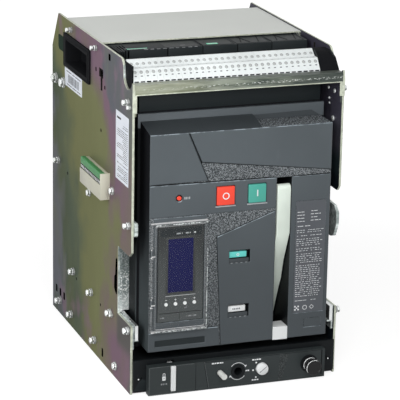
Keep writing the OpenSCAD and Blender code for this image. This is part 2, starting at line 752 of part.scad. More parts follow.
left_plate();
right_plate();
base_pan();
rear_insulator();
rear_terminals();
top_cover();
crossbar();
terminal_block();
control_bed();
control_modules();
racking_box();
racking_panel();
racking_socket();
crank_knob();
rail_guides();
stop_lugs();
hand_recesses();
side_connector();
plate_fasteners();
left_rail();
right_rail();
padlock_tab();
release_button();
position_knob();
breaker_case();
arc_chutes();
side_feet();
plug_contacts();
fascia();
trip_unit();
trip_display();
key_1();
key_2();
key_3();
key_4();
trip_lid();
off_button();
on_button();
reset_button();
state_flag();
spring_flag();
rating_plate();
handle_stop();
handle_pin();
charging_handle();
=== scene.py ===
import math
import random

import bmesh
import bpy
from bpy.props import FloatProperty, FloatVectorProperty, IntProperty, PointerProperty
from mathutils import Matrix, Vector
from mathutils.bvhtree import BVHTree


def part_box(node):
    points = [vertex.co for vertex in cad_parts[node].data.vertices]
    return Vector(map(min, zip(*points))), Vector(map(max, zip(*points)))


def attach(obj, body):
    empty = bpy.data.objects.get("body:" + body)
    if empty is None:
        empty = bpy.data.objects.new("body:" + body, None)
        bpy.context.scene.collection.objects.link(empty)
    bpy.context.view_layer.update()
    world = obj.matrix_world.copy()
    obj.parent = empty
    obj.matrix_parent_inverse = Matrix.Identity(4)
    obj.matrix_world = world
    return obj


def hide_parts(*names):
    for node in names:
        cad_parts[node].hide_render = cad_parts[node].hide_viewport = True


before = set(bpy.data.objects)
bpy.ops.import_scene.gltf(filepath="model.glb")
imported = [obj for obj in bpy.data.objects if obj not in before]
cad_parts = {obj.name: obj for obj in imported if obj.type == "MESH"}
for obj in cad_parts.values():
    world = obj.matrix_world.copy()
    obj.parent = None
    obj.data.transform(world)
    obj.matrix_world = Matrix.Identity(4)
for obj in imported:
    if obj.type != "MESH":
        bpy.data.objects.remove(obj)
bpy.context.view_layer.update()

bl_info = {
    "name": "Draw-out breaker",
    "version": (1, 0, 0),
    "blender": (4, 5, 0),
    "location": "View3D > Sidebar > Breaker",
    "description": "Builds the visible pieces of a draw-out air circuit breaker in its cradle",
    "category": "Object",
}

MM = 0.001


def low(node):
    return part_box(node)[0]


def high(node):
    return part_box(node)[1]


def middle(node):
    return (low(node) + high(node)) / 2


# Planes that the pieces share, taken from the frame
PLATE_OUT = high("right_plate").x        # outer face of a side plate
PLATE_IN = low("right_plate").x          # inner face of a side plate
PLATE_FRONT = low("right_plate").y
FRONT = high("rating_plate").y           # front face of the front cover
RACK_FRONT = low("racking_panel").y

UPSTAND = 17.5 * MM                      # height of the wall behind the front cover's shelf
SHARP = math.radians(32.0)               # edges sharper than this are rounded
SMOOTH = math.radians(24.0)              # faces that turn by less than this are shaded as one
FLAT_JOIN = math.radians(0.3)            # triangles that turn by less than this are one flat face
WELD = 1e-6                              # points of a node closer than this are one point


# ---------------------------------------------------------------- sizes and colours

def metres(label, about, value, top=0.5):
    return FloatProperty(name=label, description=about, default=value, min=0.0, max=top, unit="LENGTH",
                         precision=5)


def tint(label, about, value):
    return FloatVectorProperty(name=label, description=about, default=value, min=0.0, max=1.0, size=3,
                               subtype="COLOR")


def level(label, about, value, least=0.0):
    return FloatProperty(name=label, description=about, default=value, min=least)


class BreakerSizes(bpy.types.PropertyGroup):
    sheet_edge: metres("Sheet edge", "Rounding of cut and folded sheet edges", 0.0003, 0.001)
    mould_edge: metres("Moulded edge", "Rounding of moulded plastic edges", 0.0008, 0.003)
    machined_edge: metres("Machined edge", "Chamfer of bars, rails and lugs", 0.0004, 0.002)
    panel_proud: metres("Panel step", "How far the smooth panels stand proud of the grain", 0.001, 0.0011)
    terminal_count: IntProperty(name="Terminals", description="Number of control terminals in the row",
                                default=31, min=2, max=60)


class BreakerColours(bpy.types.PropertyGroup):
    zinc: tint("Plates", "Yellow passivated zinc of the side plates", (0.220, 0.232, 0.135))
    zinc_green: tint("Plates, green", "Greener parts of the passivation", (0.128, 0.160, 0.132))
    zinc_flash: tint("Plates, flash", "Purple flash in the passivation", (0.258, 0.178, 0.240))
    cut_metal: tint("Cut edges", "Cut edges of the plates", (0.62, 0.66, 0.54))
    cover: tint("Front cover", "Grey plastic of the front cover", (0.081, 0.095, 0.1045))
    cover_paint: tint("Top sheet", "Pale grey paint of the top sheet", (0.715, 0.740, 0.702))


class StageSettings(bpy.types.PropertyGroup):
    floor_half: metres("Floor", "Half the floor's side", 6.0, 20.0)
    key_power: level("Key light", "Power of the large light at the front left", 19.0)
    front_power: level("Front light", "Power of the small light close in front", 4.6)
    fill_power: level("Fill light", "Power of the fill light at the right", 5.0)
    top_power: level("Top light", "Power of the light above", 12.0)
    sky: level("Surround", "Strength of the plain surround as a light", 0.2)
    lens: level("Lens", "Focal length of the camera in millimetres", 193.6, 10.0)


# ---------------------------------------------------------------- finishes
# Noise scales are per metre, bump depths are in metres, and a height of a finish runs from 0 to 1.

GRAIN = 900.0                            # noise scale of moulded grain
FINE_GRAIN = 1300.0                      # noise scale of the front cover's smooth parts
TRIP_GREY = (0.056, 0.062, 0.062)
WHITE = (1.0, 1.0, 1.0)


class Finish:
    """Lays out the nodes of one finish, on Object coordinates."""

    def __init__(self, name):
        self.material = bpy.data.materials.new(name)
        self.material.use_nodes = True
        self.tree = self.material.node_tree
        self.tree.nodes.clear()
        self.skin = self.tree.nodes.new("ShaderNodeBsdfPrincipled")
        out = self.tree.nodes.new("ShaderNodeOutputMaterial")
        self.join(self.skin.outputs[0], out.inputs["Surface"])
        self.place = self.tree.nodes.new("ShaderNodeTexCoord").outputs["Object"]

    def join(self, source, socket):
        self.tree.links.new(source, socket)

    def put(self, socket, value):
        if isinstance(value, bpy.types.NodeSocket):
            self.join(value, socket)
        elif isinstance(value, (tuple, list)) and len(value) == 3 and socket.type == "RGBA":
            socket.default_value = (*value, 1.0)
        else:
            socket.default_value = value

    def node(self, kind, settings=None, **inputs):
        n = self.tree.nodes.new(kind)
        for key, value in (settings or {}).items():
            setattr(n, key, value)
        for key, value in inputs.items():
            self.put(n.inputs[key.replace("_", " ")], value)
        return n

    def noise(self, scale, detail=2.0, rough=0.5, stretch=None):
        where = self.place
        if stretch:
            where = self.node("ShaderNodeMapping", Vector=where, Scale=stretch).outputs[0]
        return self.node("ShaderNodeTexNoise", Vector=where, Scale=scale, Detail=detail,
                         Roughness=rough).outputs["Fac"]

    def ramp(self, value, a, b, to_a=0.0, to_b=1.0, how="SMOOTHSTEP"):
        n = self.tree.nodes.new("ShaderNodeMapRange")
        n.interpolation_type = how
        for slot_no, v in enumerate((value, a, b, to_a, to_b)):
            self.put(n.inputs[slot_no], v)
        return n.outputs[0]

    def math(self, how, a, b):
        n = self.tree.nodes.new("ShaderNodeMath")
        n.operation = how
        self.put(n.inputs[0], a)
        self.put(n.inputs[1], b)
        return n.outputs[0]

    def times(self, a, b):
        return self.math("MULTIPLY", a, b)

    def plus(self, a, b):
        return self.math("ADD", a, b)

    def mix(self, share, a, b):
        n = self.tree.nodes.new("ShaderNodeMix")
        n.data_type = "RGBA"
        self.put(n.inputs[0], share)
        self.put(n.inputs[6], a)
        self.put(n.inputs[7], b)
        return n.outputs[2]

    def between(self, value, a, b, start=0.3, end=0.7):
        """Two colours, mixed as a value goes from start to end."""
        return self.mix(self.ramp(value, start, end), a, b)

    def bands(self, value, stops):
        """A run of colours along a value from 0 to 1."""
        n = self.tree.nodes.new("ShaderNodeValToRGB")
        n.color_ramp.elements.remove(n.color_ramp.elements[1])
        n.color_ramp.elements[0].position = stops[0][0]
        n.color_ramp.elements[0].color = (*stops[0][1], 1.0)
        for place, colour in stops[1:]:
            n.color_ramp.elements.new(place).color = (*colour, 1.0)
        self.put(n.inputs[0], value)
        return n.outputs[0]

    def axis(self, letter):
        n = self.tree.nodes.new("ShaderNodeSeparateXYZ")
        self.join(self.place, n.inputs[0])
        return n.outputs[letter]

    def bump(self, height, distance):
        return self.node("ShaderNodeBump", Height=height, Distance=distance).outputs[0]

    def shade(self, colour, roughness, normal, metallic=0.0, specular=0.5, rim=None):
        self.put(self.skin.inputs["Base Color"], colour)
        self.put(self.skin.inputs["Roughness"], roughness)
        self.join(normal, self.skin.inputs["Normal"])
        self.skin.inputs["Metallic"].default_value = metallic
        self.skin.inputs["Specular IOR Level"].default_value = specular
        if rim:
            self.skin.inputs["Specular Tint"].default_value = (*rim, 1.0)
        return self.material

    def skinned(self, colour, height, roughness, depth, **gloss):
        """A skin whose roughness goes between two levels, and whose bump follows, one height."""
        return self.shade(colour, self.ramp(height, 0.3, 0.7, *roughness), self.bump(height, depth), **gloss)


FINISHES = {}


def once(build):
    """Each finish is made the first time that a piece asks for it."""
    def get(*args):
        key = (build.__name__, *args)
        if key not in FINISHES:
            FINISHES[key] = build(*args)
        return FINISHES[key]
    return get


def scaled(colour, k):
    return tuple(min(1.0, c * k) for c in colour)


def chosen(name):
    """A colour that the user may change."""
    return tuple(getattr(bpy.context.scene.breaker_colours, name))


def moulded(name, colour, roughness, grain=GRAIN, depth=0.00004, drift=0.07, scuffs=0.12, specular=0.25,
            floor_shade=0.0):
    """Moulded plastic: fine grain, drifting tone, dull scuffs, and painted shade that may darken it towards
    the floor.
    """
    f = Finish(name)
    cloud = f.noise(14.0, 3.0)
    grit = f.noise(grain, 2.0, 0.6)
    rub = f.ramp(f.noise(55.0, 5.0, 0.65, (1.0, 1.0, 0.35)), 0.60, 0.78)
    tone = f.between(cloud, scaled(colour, 1 - drift), scaled(colour, 1 + drift))
    tone = f.mix(f.times(rub, scuffs), tone, tuple(1.25 * c + 0.02 for c in colour))
    # painted shade: the tone darkens towards the floor
    if floor_shade:
        tone = f.mix(f.ramp(f.axis("Z"), 0.29, 0.12, 0.0, floor_shade), tone, scaled(colour, 0.5))
    rough = f.plus(f.ramp(grit, 0.3, 0.7, roughness - 0.05, roughness + 0.05), f.times(rub, 0.1))
    return f.shade(tone, rough, f.bump(grit, depth), specular=specular)


# the cover's smooth plastic, with painted shade towards the floor
@once
def cover_smooth():
    return moulded("cover_smooth", chosen("cover"), 0.46, FINE_GRAIN, 0.00002, 0.05, 0.3, floor_shade=0.5)


# the cover's plastic darkened as painted shade, for its top, the sills under the flags and the step behind the
# shelf
@once
def cover_in_painted_shade():
    return moulded("cover_top_plastic", scaled(chosen("cover"), 0.55), 0.55, FINE_GRAIN, 0.00002, 0.06, 0.3)


def grained(name, base, lift, ground, coarse, stretch=None):
    """Coarse leathery grain with pale tips, and painted shade that darkens it towards the floor."""
    f = Finish(name)
    lumps = f.noise(coarse, 1.5, 0.5, stretch)
    fine = f.noise(coarse * 2.4, 1.0)
    tips = f.ramp(lumps, 0.46, 0.60)
    tone = f.between(f.noise(14.0, 3.0), scaled(base, ground - 0.04), scaled(base, ground + 0.04))
    tone = f.mix(f.times(tips, 0.85), tone, tuple(lift * (0.5 * c + 0.5 * base[1]) for c in base))
    # painted shade: darker towards the floor
    tone = f.mix(f.ramp(f.axis("Z"), 0.28, 0.10, 0.0, 0.3), tone, scaled(base, 0.4))
    height = f.plus(lumps, f.times(fine, 0.2))
    return f.shade(tone, f.ramp(lumps, 0.3, 0.7, 0.62, 0.48), f.bump(height, 0.0003), specular=0.25)


@once
def cover_grained():
    return grained("cover_grained", chosen("cover"), 3.2, 0.40, 1020.0)


@once
def shelf_grained():
    return grained("cover_shelf_grain", chosen("cover"), 4.0, 0.55, 520.0, (1.0, 0.5, 1.0))


@once
def racking_grained():
    return grained("racking_panel_grain", PLASTICS["racking"][1], 3.2, 0.75, GRAIN)


@once
def trip_bezel():
    """Bezel of the trip unit, in shade toward its upper end and its upper right."""
    f = Finish("trip_bezel")
    grit = f.noise(GRAIN, 3.0)
    z = f.axis("Z")
    steps = ((0.0, 1.18), (0.45, 1.0), (0.72, 0.80), (0.92, 0.45), (1.0, 0.45))
    tone = f.bands(f.ramp(z, 0.100, 0.225), [(place, scaled(TRIP_GREY, k)) for place, k in steps])
    right = f.times(f.ramp(f.axis("X"), -0.062, -0.052), f.ramp(z, 0.13, 0.18))
    tone = f.mix(f.times(right, 0.6), tone, scaled(TRIP_GREY, 0.42))
    tone = f.mix(f.ramp(grit, 0.3, 0.7, 0.0, 0.12), tone, scaled(TRIP_GREY, 1.3))
    return f.skinned(tone, grit, (0.45, 0.55), 0.00004, specular=0.2)


@once
def foot_steel():
    """Galvanised feet and notch flange: bright flecks, and paler toward the rails."""
    f = Finish("foot_steel")
    fleck = f.noise(620.0, 3.0, 0.65, (1.0, 1.0, 0.8))
    z = f.axis("Z")
    tone = f.between(z, (0.145, 0.180, 0.176), (0.25, 0.295, 0.29), 0.160, 0.120)
    tone = f.mix(f.ramp(z, 0.118, 0.102, 0.0, 0.85), tone, (0.70, 0.76, 0.75))
    share = f.times(f.ramp(fleck, 0.49, 0.60), f.ramp(z, 0.155, 0.135, 0.35, 0.95))
    tone = f.mix(share, tone, (0.98, 1.0, 0.99))
    return f.skinned(tone, fleck, (0.5, 0.35), 0.00006, metallic=0.3, specular=0.3)


@once
def cover_edge_highlight():
    """Painted highlight on rounded upper edges, broken into patches."""
    f = Finish("cover_worn_edge")
    highlight_breaks = f.noise(210.0, 3.0, 0.6, (0.5, 1.0, 0.5))
    tone = f.between(highlight_breaks, scaled(chosen("cover"), 1.25), scaled(chosen("cover"), 3.2), 0.44, 0.60)
    return f.skinned(tone, f.noise(FINE_GRAIN), (0.34, 0.42), 0.00002, specular=0.25)


@once
def cover_flank():
    """Narrow sides of the cover, in painted shade: black, greyer towards the foot."""
    f = Finish("cover_flank")
    height = f.plus(f.axis("Z"), f.ramp(f.noise(20.0), 0.3, 0.7, -0.01, 0.01))
    tone = f.between(height, (0.009, 0.0095, 0.011), (0.055, 0.066, 0.070), 0.27, 0.10)
    return f.skinned(tone, f.noise(GRAIN), (0.5, 0.6), 0.00003, specular=0.01)


@once
def zinc_plate():
    """Yellow passivated zinc: bands from a purple flash at the front through olive to grey green."""
    f = Finish("zinc_plate")
    olive, green, flash = chosen("zinc"), chosen("zinc_green"), chosen("zinc_flash")
    dull = (flash[0] * 0.66, flash[1] * 1.02, flash[2] * 0.92)
    brown = tuple(0.5 * (a + b) for a, b in zip(olive, flash))
    wander = f.noise(6.0, 3.0, 0.5, (1.0, 1.0, 0.55))
    mottle = f.noise(26.0, 3.0, 0.55, (1.0, 1.0, 0.7))
    drift = f.noise(9.0, 4.0, 0.6, (1.0, 1.0, 0.5))
    streak = f.noise(30.0, 4.0, 0.6, (1.0, 1.0, 0.2))
    y, z = f.axis("Y"), f.axis("Z")
    # the bands run from front to back, and lean and wander with height
    along = f.ramp(y, PLATE_FRONT, -PLATE_FRONT, how="LINEAR")
    for how, value, start, end, first, last in (
            ("ADD", wander, 0.25, 0.75, -0.13, 0.13), ("ADD", mottle, 0.25, 0.75, -0.07, 0.07),
            ("SUBTRACT", z, 0.29, 0.42, 0.0, 0.42), ("SUBTRACT", z, 0.10, 0.02, 0.0, 0.06),
            ("ADD", z, 0.265, 0.205, 0.0, 0.09)):
        along = f.math(how, along, f.ramp(value, start, end, first, last))
    tone = f.bands(along, ((0.0, dull), (0.06, flash), (0.17, flash), (0.25, brown),
                           (0.34, scaled(olive, 1.08)), (0.56, olive), (0.74, green),
                           (0.90, scaled(green, 0.86)), (1.0, dull)))
    tone = f.mix(f.ramp(drift, 0.42, 0.72, 0.0, 0.45), tone, scaled(olive, 0.92))
    # more flash near the foot and under the top, and a grey lower front corner
    for start, end, strength in ((0.12, 0.03, 1.08), (0.34, 0.41, 1.25)):
        patches = f.times(f.ramp(z, start, end), f.ramp(mottle, 0.50, 0.66, 0.0, 0.6))
        tone = f.mix(patches, tone, scaled(flash, strength))
    corner = f.times(f.ramp(y, -0.115, -0.130), f.times(f.ramp(z, 0.040, 0.062), f.ramp(z, 0.106, 0.096)))
    tone = f.mix(f.times(corner, 0.95), tone, (0.150, 0.150, 0.155))
    tone = f.mix(f.ramp(streak, 0.58, 0.8, 0.0, 0.25), tone, scaled(olive, 1.4))
    return f.skinned(tone, f.noise(1500.0), (0.30, 0.38), 0.000004, metallic=0.4, specular=0.0,
                     rim=(0.35, 0.33, 0.24))


@once
def punched_edge():
    """Walls of the punched holes, coated and in shade."""
    f = Finish("punched_edge")
    grit = f.noise(700.0, 3.0)
    return f.skinned(f.mix(grit, (0.016, 0.014, 0.016), (0.030, 0.028, 0.024)), grit, (0.5, 0.6), 0.00002,
                     specular=0.02)


@once
def zinc_inner():
    """Inner faces of the sheet parts: the purple of the passivation darkened by painted shade, darker further
    down.
    """
    f = Finish("zinc_inner")
    z = f.axis("Z")
    tone = f.between(f.noise(9.0, 3.0), (0.046, 0.042, 0.062), (0.066, 0.064, 0.086))
    for start, end, colour in ((0.347, 0.336, (0.088, 0.086, 0.112)), (0.312, 0.285, (0.026, 0.040, 0.046)),
                               (0.275, 0.262, (0.014, 0.020, 0.026))):
        tone = f.between(z, tone, colour, start, end)
    return f.skinned(tone, f.noise(GRAIN), (0.42, 0.5), 0.00001, metallic=0.3, specular=0.05)


@once
def crossbar_steel():
    """Drawn bar: streaks along it, a greener left end, a darker right end, and a painted highlight of bright
    flecks along a band near its top, on its middle.
    """
    f = Finish("crossbar_steel")
    x, z = f.axis("X"), f.axis("Z")
    lines = f.noise(110.0, 5.0, 0.65, (0.10, 1.0, 1.0))
    patch = f.noise(16.0, 3.0, 0.55, (1.0, 1.0, 2.0))
    fleck = f.noise(820.0, 2.0, 0.6, (0.4, 1.0, 1.0))
    tone = f.between(lines, (0.040, 0.056, 0.046), (0.255, 0.285, 0.235), 0.38, 0.62)
    pale = f.between(lines, (0.24, 0.26, 0.17), (0.40, 0.42, 0.35))
    tone = f.mix(f.times(f.ramp(x, 0.02, -0.11), f.ramp(patch, 0.3, 0.6, 0.5, 1.0)), tone, pale)
    tone = f.mix(f.ramp(x, -0.02, 0.12, 0.0, 0.75), tone, (0.045, 0.055, 0.052))
    # painted highlight: bright flecks along a narrow band near the bar's top
    highlight_band = f.times(f.ramp(z, 0.3972, 0.3984), f.ramp(z, 0.4012, 0.4000))
    bright = f.times(f.ramp(fleck, 0.55, 0.64), f.ramp(x, -0.12, 0.06, 0.3, 0.8))
    tone = f.mix(f.times(highlight_band, bright), tone, (0.78, 0.82, 0.78))
    return f.skinned(tone, lines, (0.45, 0.3), 0.00006, metallic=0.25, specular=0.15)


@once
def cut_metal():
    f = Finish("cut_metal")
    tone = chosen("cut_metal")
    scratch = f.noise(300.0, 3.0, 0.6, (1.0, 1.0, 0.2))
    blot = f.ramp(f.noise(130.0, 3.0, 0.6), 0.40, 0.62, 0.55, 1.12)
    return f.skinned(f.mix(f.times(scratch, blot), scaled(tone, 0.55), scaled(tone, 1.25)), scratch,
                     (0.35, 0.5), 0.00003, metallic=0.3)


ALONG_Z, ALONG_Y = (1.0, 1.0, 0.4), (1.0, 0.1, 1.0)

# colour, roughness, noise scale and stretch of the brushing, darkest patches, metallic
METALS = {
    "bright_zinc": ((0.78, 0.80, 0.80), 0.3, 260.0, ALONG_Z, 0.25, 0.9),
    "bolt_steel": ((0.86, 0.89, 0.88), 0.3, 300.0, ALONG_Z, 0.1, 0.55),
    "washer_steel": ((0.40, 0.42, 0.40), 0.4, 300.0, ALONG_Z, 0.2, 0.6),
    # a darker steel used only for the sides of the bolt heads, as painted shade
    "terminal_screw_steel": ((0.42, 0.43, 0.43), 0.45, 400.0, (1.0, 0.4, 1.0), 0.25, 0.4),
    "tinned_copper": ((0.74, 0.73, 0.70), 0.35, 180.0, ALONG_Y, 0.15, 0.9),
    "bare_copper": ((0.78, 0.38, 0.24), 0.35, 180.0, ALONG_Y, 0.3, 0.9),
}


@once
def metal(kind):
    """Brushed metal with duller patches."""
    colour, rough, grain, stretch, patch, metallic = METALS[kind]
    f = Finish(kind)
    lines = f.noise(grain, 4.0, 0.6, stretch)
    tone = f.between(f.noise(22.0, 3.0), scaled(colour, 1 - patch), colour, 0.35, 0.65)
    tone = f.mix(f.ramp(lines, 0.35, 0.65, 0.0, 0.4), tone, scaled(colour, 0.7))
    return f.skinned(tone, lines, (rough - 0.08, rough + 0.08), 0.00003, metallic=metallic)


@once
def knob_rim():
    """Polished rims of the crank knob with a painted highlight: bright on the upper left, in painted shade on
    the lower right.
    """
    f = Finish("knob_rim")
    centre = middle("crank_knob")
    grit = f.noise(700.0)
    # painted highlight: how far up and to the left a point of the rim lies sets how bright it is
    up = f.math("SUBTRACT", f.math("SUBTRACT", f.axis("Z"), centre.z),
                f.math("SUBTRACT", f.axis("X"), centre.x))
    up = f.plus(up, f.ramp(grit, 0.3, 0.7, -0.0008, 0.0008))
    tone = f.between(up, (0.012, 0.012, 0.013), (0.85, 0.87, 0.87), 0.001, 0.008)
    return f.skinned(tone, grit, (0.2, 0.3), 0.00001, specular=0.2)


@once
def galvanised():
    """Galvanised strip with streaks along it and a spangle."""
    f = Finish("galvanised")
    spangle = f.node("ShaderNodeTexVoronoi", Vector=f.place, Scale=260.0).outputs["Distance"]
    lines = f.noise(90.0, 5.0, 0.65, (0.12, 1.0, 1.0))
    tone = f.between(lines, (0.17, 0.21, 0.20), (0.92, 0.98, 0.96), 0.38, 0.62)
    tone = f.mix(f.ramp(spangle, 0.15, 0.5, 0.0, 0.5), tone, (0.42, 0.48, 0.47))
    return f.skinned(tone, lines, (0.5, 0.3), 0.0001, metallic=0.45, specular=0.3)


@once
def top_paint():
    f = Finish("top_paint")
    tone = chosen("cover_paint")
    return f.skinned(f.between(f.noise(7.0, 3.0), scaled(tone, 0.97), scaled(tone, 1.02)), f.noise(700.0),
                     (0.42, 0.52), 0.00003)


# finish name, colour and roughness of the plain plastics and prints
PLASTICS = {
    "black": ("black_plastic", (0.0065, 0.0080, 0.0090), 0.5),
    "shade": ("recess_plastic", (0.010, 0.0105, 0.012), 0.55),
    "moulding": ("dark_moulding", (0.018, 0.022, 0.024), 0.5),
    "backing": ("backing_plastic", (0.0125, 0.0165, 0.018), 0.55),
    "module": ("module_plastic", (0.0205, 0.024, 0.025), 0.5),
    "racking": ("racking_panel_plastic", (0.025, 0.031, 0.032), 0.5),
    "white": ("white_plastic", (0.78, 0.80, 0.80), 0.38),
    "terminal": ("terminal_plastic", (0.75, 0.79, 0.79), 0.4),
    "cream": ("cream_plastic", (0.58, 0.57, 0.47), 0.45),
    "handle": ("handle_plastic", (0.72, 0.80, 0.72), 0.35),
    "red": ("red_plastic", (0.86, 0.075, 0.045), 0.35),
    "green": ("green_plastic", (0.075, 0.37, 0.30), 0.35),
    "teal": ("teal_plastic", (0.145, 0.66, 0.60), 0.45),
    "plug_green": ("plug_green_plastic", (0.06, 0.26, 0.09), 0.45),
    "plug_dark": ("plug_entry_plastic", (0.03, 0.10, 0.04), 0.5),
    "trip_pale": ("trip_unit_frame_plastic", (0.125, 0.138, 0.140), 0.45),
    "trip_dark": ("trip_unit_recess_plastic", (0.030, 0.033, 0.033), 0.5),
    "tag": ("green_tag_plastic", (0.20, 0.84, 0.52), 0.5),
    "release": ("release_button_plastic", (0.70, 0.71, 0.68), 0.35),
    "knob": ("crank_knob_plastic", (0.0085, 0.0090, 0.0095), 0.22),
    "void": ("slot_edging_plastic", (0.0012, 0.0012, 0.0013), 0.8),
    "green_dark": ("slot_backing_plastic", (0.006, 0.020, 0.011), 0.8),
    "key": ("key_plastic", (0.92, 0.94, 0.94), 0.35),
    "grille": ("grille_plastic", (0.020, 0.025, 0.027), 0.55),
    "screw_ring": ("terminal_screw_ring", (0.27, 0.29, 0.29), 0.4),
    "screw_disc": ("terminal_screw_disc", (0.50, 0.52, 0.51), 0.4),
    # pale grey for prints on the trip unit and the reset legend, for the ribs under the flags, and as a
    # painted highlight on the lips under the buttons
    "lip": ("button_lip_plastic", (0.36, 0.38, 0.39), 0.4),
    "print_grey_pale": ("print_grey_pale", (0.26, 0.27, 0.28), 0.5),
    "print_grey": ("print_grey", (0.12, 0.13, 0.15), 0.55),
    "print_white": ("print_white", (0.75, 0.77, 0.78), 0.5),
    "plate_grey": ("plate_grey", (0.095, 0.103, 0.115), 0.45),
}
OWN_GLOSS = {"shade": 0.01, "void": 0.0, "knob": 0.22}
PALE_GLOSS, DARK_GLOSS = 0.25, 0.12
DARK = 0.03


@once
def plastic(kind):
    name, colour, rough = PLASTICS[kind]
    usual = PALE_GLOSS if max(colour) > DARK else DARK_GLOSS
    return moulded(name, colour, rough, specular=OWN_GLOSS.get(kind, usual))


@once
def sticker_paper():
    f = Finish("sticker_paper")
    tone = f.between(f.noise(30.0, 3.0), (0.80, 0.85, 0.93), (0.86, 0.90, 0.97))
    return f.skinned(tone, f.noise(800.0, 3.0, 0.6), (0.4, 0.5), 0.00001)


@once
def display_glass():
    f = Finish("display_glass")
    tone = f.between(f.noise(28.0), (0.0078, 0.0082, 0.066), (0.0082, 0.0086, 0.069))
    return f.skinned(tone, f.noise(1800.0, 1.0), (0.5, 0.52), 0.0000001, specular=0.02)


# how much of the clear lid's parts shows, and their tone
CLEARS = {
    "clear_pane": (0.025, (0.30, 0.32, 0.33)),
    "clear_rim": (0.16, (0.50, 0.53, 0.54)),
    # opaque white: a painted highlight on the lid's upward faces and on its hinge side
    "clear_edge": (0.88, WHITE),
}


@once
def clear(kind):
    """Clear plastic with fine scratches along it."""
    alpha, glare = CLEARS[kind]
    f = Finish(kind)
    scratch = f.noise(240.0, 5.0, 0.7, (1.0, 1.0, 0.15))
    f.skin.inputs["Alpha"].default_value = alpha
    return f.shade(f.between(scratch, scaled(glare, 0.8), glare), f.ramp(scratch, 0.5, 0.8, 0.03, 0.12),
                   f.bump(scratch, 0.000004))


@once
def clear_lid_highlight_patches():
    """Painted highlight on the clear lid's edges, bright in broken patches."""
    f = Finish("clear_worn_edge")
    patch = f.noise(330.0, 3.0, 0.6)
    f.skin.inputs["Alpha"].default_value = 0.72
    return f.skinned(f.between(patch, (0.16, 0.18, 0.18), (0.95, 1.0, 1.0), 0.42, 0.58), patch, (0.2, 0.4),
                     0.00002)


@once
def studio_floor():
    """Pale floor that glows to the eye, in reflections and through clear parts, most away from the object."""
    f = Finish("studio_floor")
    path = f.node("ShaderNodeLightPath").outputs
    seen = f.math("MAXIMUM", path["Is Camera Ray"],
                  f.math("MAXIMUM", path["Is Glossy Ray"], path["Is Transmission Ray"]))
    away = f.node("ShaderNodeVectorMath", {"operation": "LENGTH"}, Vector=f.place).outputs["Value"]
    f.put(f.skin.inputs["Emission Color"], WHITE)
    f.put(f.skin.inputs["Emission Strength"], f.times(seen, f.ramp(away, 0.35, 1.3, 0.80, 0.98)))
    return f.skinned(f.between(f.noise(1.5), (0.36, 0.36, 0.36), (0.38, 0.38, 0.38)), f.noise(60.0),
                     (0.8, 0.9), 0.0001, specular=0.0)


# ---------------------------------------------------------------- shaping

def at(*values):
    """Millimetres in the part's frame, as metres."""
    return tuple(v * MM for v in values)


def near(corner, *offsets):
    """A corner moved by millimetres along X, Y and Z."""
    return Vector(corner) + Vector(at(*offsets))


def points(*pairs):
    """The points of a flat outline, given in millimetres."""
    return [at(*pair) for pair in pairs]


def bevelled(bm, geom, edge, steps, affect="EDGES"):
    bmesh.ops.bevel(bm, geom=geom, offset=edge, segments=steps, profile=0.5, affect=affect, clamp_overlap=True,
                    material=-1)


def brick(lo, hi, edge=0.0, steps=2):
    """A block between two corners, with rounded edges."""
    bm = bmesh.new()
    bmesh.ops.create_cube(bm, size=1.0)
    bmesh.ops.scale(bm, vec=Vector(hi) - Vector(lo), verts=bm.verts)
    bmesh.ops.translate(bm, vec=(Vector(lo) + Vector(hi)) / 2, verts=bm.verts)
    if edge:
        bevelled(bm, bm.edges[:], edge, steps)
    return bm


# Turns a shape made along Z so that it runs along the named axis
ALONG = {
    "X": Matrix.Rotation(math.pi / 2, 4, "Y"),
    "Y": Matrix.Rotation(-math.pi / 2, 4, "X"),
    "Z": Matrix.Identity(4),
}


def stand(bm, axis, centre, along):
    """Puts a shape made about the origin, up Z, on an axis. centre holds the other two coordinates."""
    spot = {"X": (along, *centre), "Y": (centre[0], along, centre[1]), "Z": (*centre, along)}[axis]
    bmesh.ops.transform(bm, matrix=Matrix.Translation(spot) @ ALONG[axis], verts=bm.verts)
    return bm


def rod(axis, centre, radius, near_end, far_end, edge=0.0, sides=32, steps=2):
    """A bar or a prism along an axis, with rounded rims."""
    bm = bmesh.new()
    bmesh.ops.create_cone(bm, cap_ends=True, segments=sides, radius1=radius, radius2=radius,
                          depth=abs(far_end - near_end))
    if edge:
        bevelled(bm, [e for e in bm.edges if abs(e.verts[0].co.z - e.verts[1].co.z) < 1e-9], edge, steps)
    return stand(bm, axis, centre, (near_end + far_end) / 2)


def turned(centre, profile, front, sides=40):
    """A lathe-turned shape along Y. profile is (radius, distance behind the front) from end to end."""
    bm = bmesh.new()
    verts = [bm.verts.new((r, 0.0, h)) for r, h in profile]
    edges = [bm.edges.new(pair) for pair in zip(verts, verts[1:])]
    bmesh.ops.spin(bm, geom=verts + edges, cent=(0, 0, 0), axis=(0, 0, 1), angle=2 * math.pi, steps=sides,
                   use_merge=True, use_duplicate=False)
    bmesh.ops.remove_doubles(bm, verts=bm.verts, dist=1e-7)
    bmesh.ops.recalc_face_normals(bm, faces=bm.faces)
    return stand(bm, "Y", (centre.x, centre.z), front)


def outline_of(bm):
    """The corners of a shape's only face."""
    bm.faces.ensure_lookup_table()
    loop = [(v.co.x, v.co.y) for v in bm.faces[0].verts]
    bm.free()
    return loop


def rounded(corners, radius, steps=4):
    """A flat outline with its corners rounded."""
    bm = bmesh.new()
    bm.faces.new([bm.verts.new((a, b, 0.0)) for a, b in corners])
    if radius:
        bevelled(bm, bm.verts[:], radius, steps, "VERTICES")
    return outline_of(bm)


def oblong(a0, b0, a1, b1, radius=0.0, steps=4):
    return rounded([(a0, b0), (a1, b0), (a1, b1), (a0, b1)], radius, steps)


